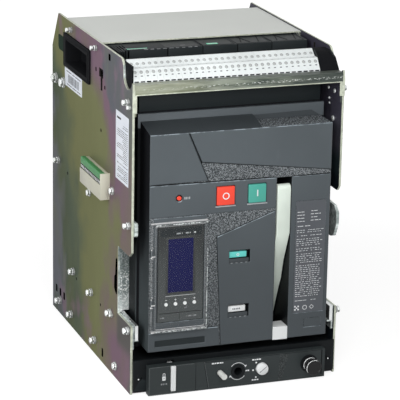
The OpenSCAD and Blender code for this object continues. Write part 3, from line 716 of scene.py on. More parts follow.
def around(node, wide, tall=None, radius=0.0):
    """A node's outline from the front, grown by a gap."""
    lo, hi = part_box(node)
    tall = wide if tall is None else tall
    return oblong(lo.x - wide, lo.z - tall, hi.x + wide, hi.z + tall, radius)


def ring(a, b, radius, sides=32):
    bm = bmesh.new()
    bmesh.ops.create_circle(bm, cap_ends=True, segments=sides, radius=radius)
    return [(x + a, y + b) for x, y in outline_of(bm)]


# Lays a flat outline so that its two coordinates run along the named axes
FLATS = {
    "XZ": Matrix(((1, 0, 0, 0), (0, 0, 1, 0), (0, 1, 0, 0), (0, 0, 0, 1))),
    "YZ": Matrix(((0, 0, 1, 0), (1, 0, 0, 0), (0, 1, 0, 0), (0, 0, 0, 1))),
    "XY": Matrix.Identity(4),
}


def slab(flat, outline, front, back, edge=0.0, holes=()):
    """A plate cut to an outline, from its front plane to its back plane, with its front rims chamfered."""
    bm = bmesh.new()
    rims = []
    for loop in (outline, *holes):
        corners = [bm.verts.new((a, b, back)) for a, b in loop]
        rims += [bm.edges.new(pair) for pair in zip(corners, corners[1:] + corners[:1])]
    if holes:
        bmesh.ops.triangle_fill(bm, use_beauty=True, use_dissolve=False, edges=rims, normal=(0, 0, 1))
    else:
        bmesh.ops.contextual_create(bm, geom=rims)
    grown = bmesh.ops.extrude_face_region(bm, geom=bm.faces[:])
    lid = [g for g in grown["geom"] if isinstance(g, bmesh.types.BMFace)]
    reach = front - back - math.copysign(edge, front - back)
    bmesh.ops.translate(bm, vec=(0, 0, reach), verts=list({v for g in lid for v in g.verts}))
    bmesh.ops.recalc_face_normals(bm, faces=bm.faces)
    if edge:
        bmesh.ops.inset_region(bm, faces=lid, thickness=edge, depth=edge, use_even_offset=True,
                               use_boundary=True)
    bmesh.ops.transform(bm, matrix=FLATS[flat], verts=bm.verts)
    bmesh.ops.recalc_face_normals(bm, faces=bm.faces)
    return bm


def copied(node):
    """A node's mesh as one welded skin of flat faces."""
    bm = bmesh.new()
    bm.from_mesh(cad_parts[node].data)
    bmesh.ops.remove_doubles(bm, verts=bm.verts, dist=WELD)
    bmesh.ops.dissolve_limit(bm, angle_limit=FLAT_JOIN, verts=bm.verts, edges=bm.edges)
    bmesh.ops.recalc_face_normals(bm, faces=bm.faces)
    return bm


def softened(bm, edge, steps=2):
    """Rounds the sharp edges of a shape."""
    sharp = [e for e in bm.edges if len(e.link_faces) == 2 and e.calc_face_angle(0.0) > SHARP]
    if sharp:
        bevelled(bm, sharp, edge, steps)
    return bm


def islands(node):
    """The (low, high) corners of each separate solid of a node."""
    bm = copied(node)
    left, found = set(bm.verts), []
    while left:
        front = [left.pop()]
        lo, hi = front[0].co.copy(), front[0].co.copy()
        while front:
            vert = front.pop()
            lo, hi = Vector(map(min, lo, vert.co)), Vector(map(max, hi, vert.co))
            for e in vert.link_edges:
                other = e.other_vert(vert)
                if other in left:
                    left.remove(other)
                    front.append(other)
        found.append((lo, hi))
    bm.free()
    return sorted(found, key=lambda c: tuple(round(v, 5) for v in (*c[0], *c[1])))


class Piece:
    """One named piece, put together from parts that each have a finish."""

    def __init__(self, name):
        self.name = name
        self.bm = bmesh.new()
        self.finishes = []

    def take(self, part, finish, pick=None):
        """Adds a part. pick may give a face its own finish."""
        for face in part.faces:
            wanted = (pick(face) if pick else None) or finish
            if wanted not in self.finishes:
                self.finishes.append(wanted)
            face.material_index = self.finishes.index(wanted)
        spare = bpy.data.meshes.new("spare")
        part.to_mesh(spare)
        part.free()
        self.bm.from_mesh(spare)
        bpy.data.meshes.remove(spare)
        return self

    def node(self, node, edge, finish, steps=2, pick=None):
        """Adds a CAD node's shape with its sharp edges rounded."""
        return self.take(softened(copied(node), edge, steps), finish, pick)

    def block(self, lo, hi, finish, edge=0.0, steps=2, pick=None):
        return self.take(brick(lo, hi, edge, steps), finish, pick)

    def plate(self, flat, outline, front, back, finish, edge=0.0, holes=(), pick=None):
        return self.take(slab(flat, outline, front, back, edge, holes), finish, pick)

    def bar(self, x0, x1, z0, z1, finish, front, back):
        """A small flat mark that faces the front."""
        return self.block((x0, front, z0), (x1, back, z1), finish)

    def done(self, body, slot, *stands_for):
        mesh = bpy.data.meshes.new(self.name)
        self.bm.to_mesh(mesh)
        self.bm.free()
        for finish in self.finishes:
            mesh.materials.append(finish)
        mesh.shade_smooth()
        mesh.set_sharp_from_angle(angle=SMOOTH)
        obj = bpy.data.objects.new(self.name, mesh)
        bpy.context.scene.collection.objects.link(obj)
        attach(obj, body)
        if stands_for:
            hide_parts(*stands_for)
        return obj


def dressed(name, node, body, slot, finish, edge, steps=2, pick=None):
    """A piece that is one node, softened and finished."""
    return Piece(name).node(node, edge, finish, steps, pick).done(body, slot, node)


# ---------------------------------------------------------------- pieces

def side_at(*pairs):
    """Points on a side plate, given as millimetres back from its front edge and up from the floor."""
    return [(PLATE_FRONT + a * MM, b * MM) for a, b in pairs]


def on_left_plate(piece, a0, z0, a1, z1, finish, radius=0.0, proud=0.16, deep=0.0):
    """A thin patch on the left plate between two of side_at's points; all numbers are millimetres."""
    (y0, b0), (y1, b1) = side_at((a0, z0), (a1, z1))
    piece.plate("YZ", oblong(y0, b0, y1, b1, radius * MM, 3), -PLATE_OUT - proud * MM,
                -PLATE_OUT + deep * MM, finish)


class SidePlates(bpy.types.Operator):
    """Punched zinc-plated side plates with bare cut edges"""
    bl_idname = "breaker.side_plates"
    bl_label = "Side plates"

    # patches over the left plate's slots, dark as painted shade that widens them, one of them dark green: from
    # and to, back and up, in millimetres
    DARK_SLOT_PATCHES = (((298.5, 27.0, 306.0, 38.0), "void"), ((317.5, 27.0, 325.0, 38.0), "void"),
               ((336.5, 27.0, 344.0, 38.0), "void"), ((117.0, 8.5, 123.5, 20.5), "void"),
               ((91.0, 415.5, 100.0, 424.5), "void"), ((151.5, 389.0, 156.5, 394.5), "void"),
               ((113.0, 373.5, 117.5, 378.5), "void"), ((297.5, 381.0, 330.0, 402.0), "green_dark"))
    LONG_SLOT = ((57.4, 116.0), (57.2, 164.5), (61.0, 165.5), (64.5, 158.0), (66.2, 141.0), (69.8, 138.0),
                 (70.4, 122.0), (65.0, 117.0))
    PROUD, DEEP = 0.05, 0.2
    WIDEST_HOLE = 45 * MM

    def execute(self, context):
        edge = context.scene.breaker_sizes.sheet_edge
        for node in ("left_plate", "right_plate"):
            plate = Piece(node + "_sheet")
            plate.node(node, edge, zinc_plate(), 1, self.edge_finish(node))
            if node == "left_plate":
                self.notch_and_slots(plate)
            plate.done("cradle", "zinc_steel", node)
        return {"FINISHED"}

    def edge_finish(self, node):
        """Picks a face's finish: painted shade on the inner faces, and on a cut edge: bare outside, coated and
        in painted shade in the punched holes, galvanised on the flange.
        """
        bare = copied(node)
        tree = BVHTree.FromBMesh(bare)
        bare.free()

        def pick(face):
            n, c = face.normal, face.calc_center_median()
            if abs(n.x) > 0.9:
                return zinc_inner() if c.x * n.x < 0 else None
            flat = Vector((0.0, n.y, n.z)).normalized()
            centre = Vector(((PLATE_OUT + PLATE_IN) / 2 * (1 if c.x > 0 else -1), c.y, c.z))
            if tree.ray_cast(centre + flat * 0.1 * MM, flat, self.WIDEST_HOLE)[0] is not None:
                return punched_edge()
            return galvanised() if n.y < -0.9 and c.y > PLATE_FRONT + 20 * MM else cut_metal()

        return pick

    def notch_and_slots(self, plate):
        """The narrow flange behind the notch, and dark patches of painted shade over the slots."""
        x, rear = -PLATE_IN, PLATE_FRONT + 55 * MM
        plate.block(near((x, rear, 0), -0.1, 0.3, 93.4), near((x, rear, 0), 3.0, 1.6, 180.5), foot_steel())
        plate.plate("YZ", side_at(*self.LONG_SLOT), -PLATE_OUT - self.PROUD * MM, -PLATE_OUT + self.DEEP * MM,
                    plastic("void"))
        for (a0, z0, a1, z1), kind in self.DARK_SLOT_PATCHES:
            on_left_plate(plate, a0, z0, a1, z1, plastic(kind), 0.3 * min(z1 - z0, a1 - a0), self.PROUD,
                          self.DEEP)


class CradleFrame(bpy.types.Operator):
    """Base pan, rail guides, stop lugs and the sliding rails"""
    bl_idname = "breaker.cradle_frame"
    bl_label = "Cradle frame and rails"

    def execute(self, context):
        sizes = context.scene.breaker_sizes
        dressed("folded_base_pan", "base_pan", "cradle", "zinc_steel", zinc_plate(), sizes.sheet_edge)
        dressed("galvanised_rail_guides", "rail_guides", "cradle", "zinc_steel", galvanised(),
                sizes.sheet_edge)
        dressed("draw_out_stop_lugs", "stop_lugs", "cradle", "bright_steel", galvanised(), sizes.machined_edge)
        for side in ("left", "right"):
            dressed(side + "_sliding_rail", side + "_rail", side + "_rail", "bright_steel",
                    metal("bright_zinc"), sizes.machined_edge)
        return {"FINISHED"}


class RearConnections(bpy.types.Operator):
    """Moulded rear insulator, the main terminals and the plug-in contacts"""
    bl_idname = "breaker.rear_connections"
    bl_label = "Rear insulator and terminals"

    def execute(self, context):
        sizes = context.scene.breaker_sizes
        dressed("moulded_rear_insulator", "rear_insulator", "cradle", "black_plastic", plastic("moulding"),
                sizes.mould_edge)
        dressed("tinned_rear_terminals", "rear_terminals", "cradle", "tinned_copper", metal("tinned_copper"),
                sizes.machined_edge)
        dressed("copper_plug_contacts", "plug_contacts", "breaker", "copper", metal("bare_copper"),
                sizes.machined_edge)
        return {"FINISHED"}


class TopSheet(bpy.types.Operator):
    """Pale painted sheet over the cradle, with a bare front edge"""
    bl_idname = "breaker.top_sheet"
    bl_label = "Top sheet"

    def execute(self, context):
        dressed("painted_top_sheet", "top_cover", "cradle", "cover_grey", top_paint(),
                context.scene.breaker_sizes.sheet_edge,
                pick=lambda face: cut_metal() if face.normal.y < -0.4 else None)
        return {"FINISHED"}


class Crossbar(bpy.types.Operator):
    """Drawn steel bar across the front, with its rolled lower lip"""
    bl_idname = "breaker.crossbar"
    bl_label = "Front crossbar"

    def execute(self, context):
        lo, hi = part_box("crossbar")
        lip = low("control_bed").z
        bar = Piece("drawn_crossbar")
        # the bar's end faces inside the plates are in painted shade
        bar.node("crossbar", context.scene.breaker_sizes.machined_edge, crossbar_steel(), pick=lambda face: (
            zinc_inner() if abs(face.normal.x) > 0.9
            and abs(face.calc_center_median().x) < PLATE_IN - MM else None))
        bar.block(near((lo.x, lo.y, lip), 0.5, -0.2, 0), near((hi.x, lo.y, lip), -0.5, 1, 1.3), cut_metal(),
                  0.3 * MM)
        # folded ends of the bar on the plates' front edges
        for side, deep, foot in ((-1, 5.6, 370.0), (1, 6.6, 374.5)):
            x0, x1 = sorted((side * (PLATE_OUT - deep * MM), side * (PLATE_OUT + 0.2 * MM)))
            bar.block(near((x0, PLATE_FRONT, 0), 0, -1.4, foot), near((x1, PLATE_FRONT, 0), 0, -0.1, 399.5),
                      cut_metal(), 0.4 * MM, 1)
        bar.done("cradle", "zinc_steel", "crossbar")

        screws = Piece("inner_plate_screws")
        face = hi.x - 3 * MM
        for y, z, radius, seat in ((-145.5, 377.8, 2.0, face), (-165.1, 377.8, 2.8, face),
                                   (-141.7, 363.0, 1.7, PLATE_IN), (-142.4, 356.5, 1.7, PLATE_IN),
                                   (-155.5, 339.3, 3.6, PLATE_IN)):
            screws.take(rod("X", at(y, z), radius * MM, seat - 1.8 * MM, seat, 0.5 * MM, 16),
                        metal("bolt_steel"))
        screws.done("cradle", "bright_steel")
        return {"FINISHED"}


class TerminalRow(bpy.types.Operator):
    """Row of control wiring terminals, two tiers of screws in each"""
    bl_idname = "breaker.terminal_row"
    bl_label = "Control terminals"

    GAP = 0.06 * MM

    def execute(self, context):
        lo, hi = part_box("terminal_block")
        count = context.scene.breaker_sizes.terminal_count
        pitch = (hi.x - lo.x) / count
        # Section of a terminal in (y, z), from the foot at the front round to the foot at the back
        step = hi.z - 7.5 * MM
        section = [(lo.y, lo.z), (lo.y, lo.z + 6.9 * MM), (hi.y - 21.5 * MM, step), (hi.y - 12.5 * MM, step),
                   (hi.y - 3 * MM, hi.z), (hi.y, hi.z), (hi.y, lo.z)]
        upper = Vector((0, 9.5, 7.5)).normalized()
        lower = Vector((0, section[2][0] - section[1][0], section[2][1] - section[1][1])).normalized()
        deck = Vector((0, 1, 0))
        row = Piece("control_terminal_row")

        def lay(x, start, slope, reach, *parts):
            """Lays parts made about the origin on a slope of the section, a way up from its start."""
            spot = Vector((x, *start)) + slope * reach
            tilt = Matrix.Rotation(math.atan2(slope.z, slope.y), 4, "X")
            for part, kind in parts:
                bmesh.ops.transform(part, matrix=Matrix.Translation(spot) @ tilt, verts=part.verts)
                row.take(part, plastic(kind))

        for n in range(count):
            left = lo.x + n * pitch + self.GAP
            right = lo.x + (n + 1) * pitch - self.GAP
            x = (left + right) / 2
            row.take(softened(slab("YZ", section, right, left), 0.15 * MM, 1), plastic("terminal"))
            for start, slope, reach in ((section[3], upper, 4.84 * MM), (section[1], lower, 11.999 * MM)):
                # each screw: a grey ring of painted shade in its well, a paler head set off its centre so that
                # the shade shows as a crescent, and its slot
                lay(x, start, slope, reach,
                    (rod("Z", (0, 0), 2.15 * MM, -0.4 * MM, 0.16 * MM, sides=16), "screw_ring"),
                    (rod("Z", at(-0.2, -0.25), 1.5 * MM, -0.4 * MM, 0.3 * MM, sides=12), "screw_disc"),
                    (brick(at(-1.1, -0.15, 0.05), at(1.1, 0.15, 0.34)), "print_grey_pale"))
            lay(x, section[2], deck, 4.05 * MM,
                (brick(at(-1.0, -0.5, -0.3), at(1.0, 0.5, 0.08)), "screw_ring"))
            lay(x, section[1], lower, 6.76 * MM,
                (brick(at(-1.3, -0.65, -0.3), at(1.3, 0.65, 0.08)), "print_grey"))
            row.block(near((left, lo.y, lo.z), 1.1, -0.15, 5.2), near((right, lo.y, lo.z), -1.1, 1, 6.8),
                      plastic("black"))
        row.done("cradle", "white_plastic", "terminal_block")
        return {"FINISHED"}


class ControlBed(bpy.types.Operator):
    """Bed of the control terminals with its end brackets, and the control modules behind"""
    bl_idname = "breaker.control_bed"
    bl_label = "Terminal bed and modules"

    # where one module ends and the next starts
    SPLITS = (-128, -13, 33, 82, 130)

    def execute(self, context):
        self.bed(context.scene.breaker_sizes.mould_edge)
        lo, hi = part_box("control_modules")
        spread = random.Random(3)
        modules = Piece("control_module_blocks")
        # the modules' faces take their colour by the way they face: lighter blacks on the tops and fronts,
        # painted shade on the others
        modules.node("control_modules", 0.8 * MM, plastic("shade"), pick=lambda face: (
            plastic("module") if face.normal.z > 0.8 else plastic("grille") if face.normal.y < -0.8 else None))
        self.details(lo, hi, spread)
        modules.done("cradle", "moulding", "control_modules")
        self.tags((0, lo.y, hi.z), spread)
        return {"FINISHED"}

    def bed(self, edge):
        lo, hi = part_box("control_bed")
        bed = Piece("terminal_bed").node("control_bed", edge, plastic("shade"))
        # ribs on the bracket at the row's right end
        rib = ((5, 408.4), (14, 421.4), (25, 427.7), (25, 422.4), (17, 417.4))
        for x in (high("terminal_block").x + 0.8 * MM, hi.x - 3.2 * MM):
            bed.plate("YZ", [(lo.y + a * MM, b * MM) for a, b in rib], x, x + 1.2 * MM, plastic("module"))
        bed.done("cradle", "black_plastic", "control_bed")

    def details(self, lo, hi, spread):
        """Ribs, seams, small marks and latch ends along the tops of the modules."""
        soft, pale, shade = plastic("moulding"), plastic("print_grey_pale"), plastic("shade")
        front, back = Vector((0, lo.y, hi.z)), Vector((0, hi.y, hi.z))
        ribs = Piece("control_module_details")
        for a, b in zip(self.SPLITS, self.SPLITS[1:]):
            for x in (a + 1.2, b - 2.2):
                ribs.block(near(front, x, 3, -0.6), near(back, x + 1, -4, 0.7), soft, 0.2 * MM, 1)
            ribs.block(near(front, a + 3, 2, -0.6), near(front, b - 3, 4, 0.5), soft, 0.2 * MM, 1)
            x = a + 6.0
            while x < b - 8:
                wide = 2 + spread.random() * 5
                y = 9 + spread.random() * 30
                ribs.block(near(front, x, y, -0.3), near(front, x + wide, y + 0.8, 0.12),
                           pale if spread.random() < 0.25 else soft)
                x += wide + 2 + spread.random() * 4
        ribs.block(near(front, -61.2, 0, -16), near(back, -59.4, -1, 0), shade,
                   pick=lambda face: plastic("module") if face.normal.z > 0.8 else None)
        for x, lean in ((42, 9), (54, -9), (66, 9), (92, 9), (106, -9), (118, 9)):
            seam = ((x, 8), (x + 1, 8), (x + 1 + lean, 44), (x + lean, 44))
            ribs.plate("XY", [(a * MM, lo.y + b * MM) for a, b in seam], hi.z + 0.4 * MM, hi.z - 0.3 * MM,
                       shade)
        for n in range(9):
            x = -92 + n * 8.5
            ribs.block(near(front, x, 0, -0.5), near(front, x + 3 + spread.random() * 3, 0.9, 0.2), pale)
        for x in range(-127, -118, 3):
            ribs.block(near(front, x, -8, -14), near(front, x + 1.2, 6, 0.4), soft, 0.2 * MM, 1)
        ribs.done("cradle", "moulding")

    def tags(self, front, spread):
        """Green tags with rows of plain marks."""
        tags = Piece("control_module_tags")
        for x0, x1, y0, y1 in ((-113, -86, 2.5, 8.5), (-4, 11, 8.0, 14.0)):
            tags.block(near(front, x0, y0, 0), near(front, x1, y1, 0.25), plastic("tag"), 0.1 * MM, 1)
            x = x0 + 2.0
            while x < x1 - 2:
                wide = 1.2 + spread.random() * 2.4
                tags.block(near(front, x, y0 + 1.6, 0.2), near(front, x + wide, y1 - 1.8, 0.3),
                           plastic("print_white"))
                x += wide + 0.9
        tags.done("cradle", "green")


def round_node(node):
    """Centre, radius, length and front plane of a round node that faces the front."""
    lo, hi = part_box(node)
    return (lo + hi) / 2, (hi.x - lo.x) / 2, hi.y - lo.y, lo.y


class RackingDrive(bpy.types.Operator):
    """Racking box behind the lower panel, the panel with its signs, its socket and its knobs"""
    bl_idname = "breaker.racking_drive"
    bl_label = "Racking drive"

    # half of the panel's width, outside which the racking box shows as flanges
    PANEL_HALF = 120 * MM

    def execute(self, context):
        edge = context.scene.breaker_sizes.mould_edge

        # the flanges' front faces beside the panel take a lighter black than the rest of the box: painted
        # light
        def backing(face):
            if face.normal.y < -0.9 and abs(face.calc_center_median().x) > self.PANEL_HALF:
                return plastic("backing")

        dressed("racking_box_shell", "racking_box", "cradle", "black_plastic", plastic("black"), edge,
                pick=backing)
        dressed("racking_socket_sleeve", "racking_socket", "cradle", "black_plastic", plastic("black"),
                0.3 * MM)
        panel = Piece("racking_panel_face").node("racking_panel", 0.7 * MM, plastic("racking"))
        # the grained band at the right
        panel.plate("XZ", points((57.8, 39.2), (70.4, 38.4), (60.5, 2.8), (55.8, 2.6)), RACK_FRONT - 0.12 * MM,
                    RACK_FRONT + 0.3 * MM, racking_grained(), 0.05 * MM)
        panel.done("cradle", "moulding", "racking_panel")
        self.signs()
        dressed("padlock_pull_tab", "padlock_tab", "padlock_tab", "white_plastic", plastic("white"), 0.6 * MM)
        self.release_button()
        self.position_knob()
        self.crank_knob()
        self.flange_screws()
        return {"FINISHED"}

    def signs(self):
        """Painted highlights on the rim, grooves, a padlock, curved arrows round the socket, dots round the
        knob, and rows of plain marks.
        """
        black, pale, edge_highlight, grey = (plastic(kind) for kind in
                                   ("black", "print_white", "trip_pale", "print_grey_pale"))
        signs = Piece("racking_panel_signs")

        def mark(outline, finish=pale, holes=()):
            signs.plate("XZ", outline, RACK_FRONT - 0.1 * MM, RACK_FRONT + 0.05 * MM, finish, 0.0, holes)

        # painted highlights along the panel's rim, then its grooves, the slanted one with a painted highlight
        # beside it
        for corners, finish in (((-119.8, 38.9, -60.0, 39.3), edge_highlight), ((-119.8, 2.2, -60.0, 2.6), edge_highlight),
                                ((-120.2, 2.2, -119.8, 39.3), edge_highlight), ((115.6, 5.0, 117.4, 38.6), black),
                                ((-45.0, 38.7, 117.0, 39.2), black)):
            mark(oblong(*at(*corners)), finish)
        mark(points((-57.9, 39.4), (-57.3, 39.4), (-57.3, 2.2), (-57.9, 2.2)), black)
        mark(points((-47.1, 39.6), (-46.2, 39.6), (-39.6, 2.2), (-40.5, 2.2)), black)
        mark(points((-46.2, 39.6), (-45.8, 39.6), (-39.2, 2.2), (-39.6, 2.2)), edge_highlight)
        # padlock: its body with a keyhole, its shackle, and the row of marks under it
        mark(oblong(*at(-102.8, 20.5, -98.2, 26.2, 0.6), 2), holes=(ring(*at(-100.5, 23.2, 0.7), 12),))
        mark(oblong(*at(-102.2, 25.5, -98.8, 30.5, 1.5)), holes=(oblong(*at(-101.4, 25.0, -99.6, 29.8, 0.8)),))
        for a, b in ((-104.6, -102.8), (-102.0, -100.6), (-99.6, -98.9), (-98.0, -96.2)):
            mark(oblong(*at(a, 14.6, b, 16.6)), grey)
        socket, knob = middle("racking_socket"), middle("position_knob")
        for up in (1.0, -1.0):
            signs.take(self.arc(socket, up), pale)
            x, z = socket.x + up * 10.2 * MM, socket.z + up * 6.4 * MM
            mark([(x, z - up * 1.8 * MM), (x + 2.0 * MM, z + up * 0.8 * MM),
                  (x - 2.0 * MM, z + up * 1.0 * MM)])
        for x, z in ((-8.0, 9.0), (-12.0, -1.0), (-8.0, -11.0)):
            mark(ring(knob.x + x * MM, knob.z + z * MM, 1.15 * MM, 16))
        for x, z, words in ((19.5, 35.3, (2.4, 1.8, 3.0, 2.6)), (10.6, 21.6, (1.8, 2.4)),
                            (19.5, 7.6, (2.4, 3.2, 2.0)), (-36.0, 36.2, (3.0, 2.2, 3.4, 2.6, 1.6))):
            for wide in words:
                mark(oblong(*at(x, z - 0.9, x + wide, z + 0.9)))
                x += wide + 0.7
        signs.done("cradle", "white_plastic")

    def arc(self, centre, up):
        """The curved shaft of an arrow, over the socket or, turned half round, under it."""
        inner, outer, start, turn = 11.2 * MM, 11.85 * MM, math.radians(38), math.radians(104)
        bm = bmesh.new()
        ends = [bm.verts.new((-inner, 0.0, 0.0)), bm.verts.new((-outer, 0.0, 0.0))]
        first = bm.edges.new(ends)
        bmesh.ops.transform(bm, matrix=Matrix.Rotation(start, 4, "Y"), verts=bm.verts)
        bmesh.ops.spin(bm, geom=[*ends, first], cent=(0, 0, 0), axis=(0, 1, 0), angle=turn, steps=14)
        grown = bmesh.ops.extrude_face_region(bm, geom=bm.faces[:])
        bmesh.ops.translate(bm, vec=(0, -0.12 * MM, 0),
                            verts=[g for g in grown["geom"] if isinstance(g, bmesh.types.BMVert)])
        bmesh.ops.scale(bm, vec=(up, 1, up), verts=bm.verts)
        bmesh.ops.translate(bm, vec=(centre.x, RACK_FRONT + 0.02 * MM, centre.z), verts=bm.verts)
        bmesh.ops.recalc_face_normals(bm, faces=bm.faces)
        return bm

    def release_button(self):
        centre, r, length, front = round_node("release_button")
        profile = ((0, 0), (r * 0.96, 0), (r * 0.96, 30 * MM), (r, 30.3 * MM), (r, length), (0, length))
        button = Piece("release_push_button").take(turned(centre, profile, front, 32), plastic("release"))
        button.done("release_button", "bright_steel", "release_button")

    def position_knob(self):
        centre, r, length, front = round_node("position_knob")
        profile = ((0, 0), (r - 1.4 * MM, 0), (r - 0.7 * MM, 0.3 * MM), (r - 0.2 * MM, 1.4 * MM),
                   (r, length), (0, length))
        knob = Piece("position_turn_knob").take(turned(centre, profile, front), plastic("white"))
        slot = brick((-r * 0.78, -0.12 * MM, -0.5 * MM), (r * 0.78, 0.4 * MM, 0.5 * MM))
        slant = Matrix.Rotation(math.radians(-38), 4, "Y")
        bmesh.ops.transform(slot, matrix=Matrix.Translation((centre.x, front, centre.z)) @ slant,
                            verts=slot.verts)
        knob.take(slot, plastic("print_grey_pale"))
        knob.done("position_knob", "white_plastic", "position_knob")

    def crank_knob(self):
        centre, r, depth, front = round_node("crank_knob")
        length, sides = RACK_FRONT - front, 48
        profile = ((0, 0.5 * MM), (r * 0.80, 0.5 * MM), (r * 0.84, 0), (r * 0.90, 0), (r * 0.98, 0.9 * MM),
                   (r * 0.98, length * 0.30), (r * 0.80, length * 0.36), (r * 0.80, length * 0.62),
                   (r * 0.90, length * 0.68), (r * 0.90, length + 1 * MM), (0, length + 1 * MM))
        knob = Piece("stowed_crank_knob").take(turned(centre, profile, front, sides), plastic("knob"))
        knob.take(rod("Y", (centre.x, centre.z), r * 0.5, front + length, front + depth, sides=24),
                  plastic("knob"))
        for reach, rim in ((0.8 * MM, r), (length * 0.68, r * 0.93)):
            band = ((rim - 0.7 * MM, -0.35 * MM), (rim, -0.2 * MM), (rim, 0.2 * MM),
                    (rim - 0.7 * MM, 0.35 * MM), (rim - 0.7 * MM, -0.35 * MM))
            knob.take(turned(centre, band, front + reach, sides), knob_rim())
        # a black disc on the panel round the knob: the knob's painted shadow
        knob.plate("XZ", ring(centre.x, centre.z, 12.0 * MM, 40), RACK_FRONT - 0.1 * MM, RACK_FRONT + 0.1 * MM,
                   plastic("black"))
        knob.done("cradle", "black_plastic", "crank_knob")

    def flange_screws(self):
        face = low("racking_box").y
        head = ((0, 0), (2.9 * MM, 0), (3.2 * MM, 0.3 * MM), (3.2 * MM, 1 * MM), (0, 1 * MM))
        fixings = Piece("racking_flange_screws")
        for side in (-1, 1):
            x = side * 130.5 * MM
            fixings.take(turned(Vector((x, 0, 25.0 * MM)), head, face - 0.4 * MM, 24), plastic("black"))
            # a small bright steel disc at the lower left of each head: a painted highlight
            fixings.take(rod("Y", (x - 0.8 * MM, 21.8 * MM), 1.0 * MM, face - 1.2 * MM, face, 0.3 * MM, 12),
                         metal("bolt_steel"))
        fixings.done("cradle", "black_plastic")


class PlateFittings(bpy.types.Operator):
    """Hand recesses, side connector and the bolts through the side plates"""
    bl_idname = "breaker.plate_fittings"
    bl_label = "Plate fittings"

    PLUG_WAYS = 15

    def execute(self, context):
        recess = Piece("hand_recess_frames").node("hand_recesses", 1.3 * MM, plastic("shade"), 3)
        lo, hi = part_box("hand_recesses")
        rim = oblong(lo.y - 3.4 * MM, lo.z - 0.2 * MM, hi.y + 5.5 * MM, hi.z + 1.8 * MM, 3 * MM)
        hole = oblong(lo.y + 5.5 * MM, lo.z + 5.5 * MM, hi.y - 5.5 * MM, hi.z - 5.5 * MM, 2 * MM)
        for side in (-1, 1):
            front, back = sorted((side * PLATE_OUT, side * (PLATE_OUT + 2.6 * MM)))
            recess.plate("YZ", rim, front, back, plastic("shade"), holes=(hole,))
        recess.done("cradle", "black_plastic", "hand_recesses")
        self.connector()
        self.bolts()
        return {"FINISHED"}

    def connector(self):
        lo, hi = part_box("side_connector")
        cream = plastic("cream")
        step = lo.y + 2 * MM                                        # front flange's rear face
        shelf = hi.x - 6.2 * MM                                     # outer face of the plug's back wall
        body = Piece("auxiliary_side_connector")
        body.block((lo.x, step, lo.z), (hi.x, hi.y, lo.z + 19.5 * MM), cream, 0.4 * MM)
        body.block((shelf, step, lo.z + 18 * MM), (hi.x, hi.y, hi.z - 1.5 * MM), cream, 0.4 * MM)
        body.block(lo, (hi.x, step + 0.2 * MM, hi.z), cream, 0.4 * MM)
        body.block((lo.x + 1.2 * MM, step, lo.z + 18 * MM), (shelf, hi.y - 0.4 * MM, lo.z + 26.2 * MM),
                   plastic("black"))
        body.done("cradle", "cream_plastic", "side_connector")

        plug = Piece("side_connector_plug")
        pitch = (hi.y - step - 2 * MM) / self.PLUG_WAYS
        for n in range(self.PLUG_WAYS):
            a = step + 0.8 * MM + n * pitch
            b = a + pitch - 2.0 * MM
            plug.block((lo.x + 0.8 * MM, a, lo.z + 26.2 * MM), (shelf + 0.2 * MM, a + pitch - 0.35 * MM, hi.z),
                       plastic("plug_green"), 0.3 * MM)
            plug.block(near((lo.x, a, hi.z), 2.6, 1.7, -0.2), near((lo.x, b, hi.z), 5.2, 0, 0.05),
                       plastic("plug_dark"))
            plug.block(near((lo.x, a, lo.z), 0.6, 1.6, 21), near((lo.x, b, lo.z), 1.4, 0, 24.6),
                       metal("bright_zinc"), 0.15 * MM)
        plug.done("cradle", "green")

    def bolts(self):
        steel, washer_and_side_shade, flank_shade = metal("bolt_steel"), metal("washer_steel"), metal("terminal_screw_steel")
        heads = Piece("plate_bolt_heads")
        for lo, hi in islands("plate_fasteners"):
            seat, tip = (hi.x, lo.x) if lo.x < 0 else (lo.x, hi.x)
            centre = ((lo.y + hi.y) / 2, (lo.z + hi.z) / 2)
            radius = max(hi.z - lo.z, hi.y - lo.y) / 2
            base = seat + math.copysign(min(1.0 * MM, abs(tip - seat) * 0.2), tip - seat)
            waist, neck = seat + (tip - seat) * 0.44, seat + (tip - seat) * 0.52
            # each bolt, from the plate out: a washer; a hex head with its sides in painted shade; a narrow
            # neck, near black as painted shade; a nut whose sides, but for those that face up, are in painted
            # shade
            heads.take(rod("X", centre, radius * 0.99, seat, base, 0.2 * MM, 24, 1), washer_and_side_shade)
            heads.take(rod("X", centre, radius * 0.95, base, waist, 0.3 * MM, 6, 1), steel,
                       lambda face: flank_shade if abs(face.normal.x) < 0.3 else None)
            heads.take(rod("X", centre, radius * 0.6, waist, neck, sides=16), plastic("backing"))
            heads.take(rod("X", centre, radius * 0.80, neck, tip, min(1.2 * MM, radius * 0.25), 6, 3), steel,
                       lambda face: washer_and_side_shade if abs(face.normal.x) < 0.3 and face.normal.z < 0.4 else None)
        # smaller screws beside two of the bolts on the left plate
        shoulder, end = -PLATE_OUT - 2.2 * MM, -PLATE_OUT - 5.0 * MM
        for along, up, radius in ((8.5, 376.0, 3.4 * MM), (76.0, 82.0, 3.0 * MM)):
            centre = side_at((along, up))[0]
            heads.take(rod("X", centre, radius, -PLATE_OUT, shoulder, 0.2 * MM, 16, 1), washer_and_side_shade)
            heads.take(rod("X", centre, radius * 0.75, shoulder, end, 0.6 * MM, 16), steel)
        heads.done("cradle", "bright_steel", "plate_fasteners")


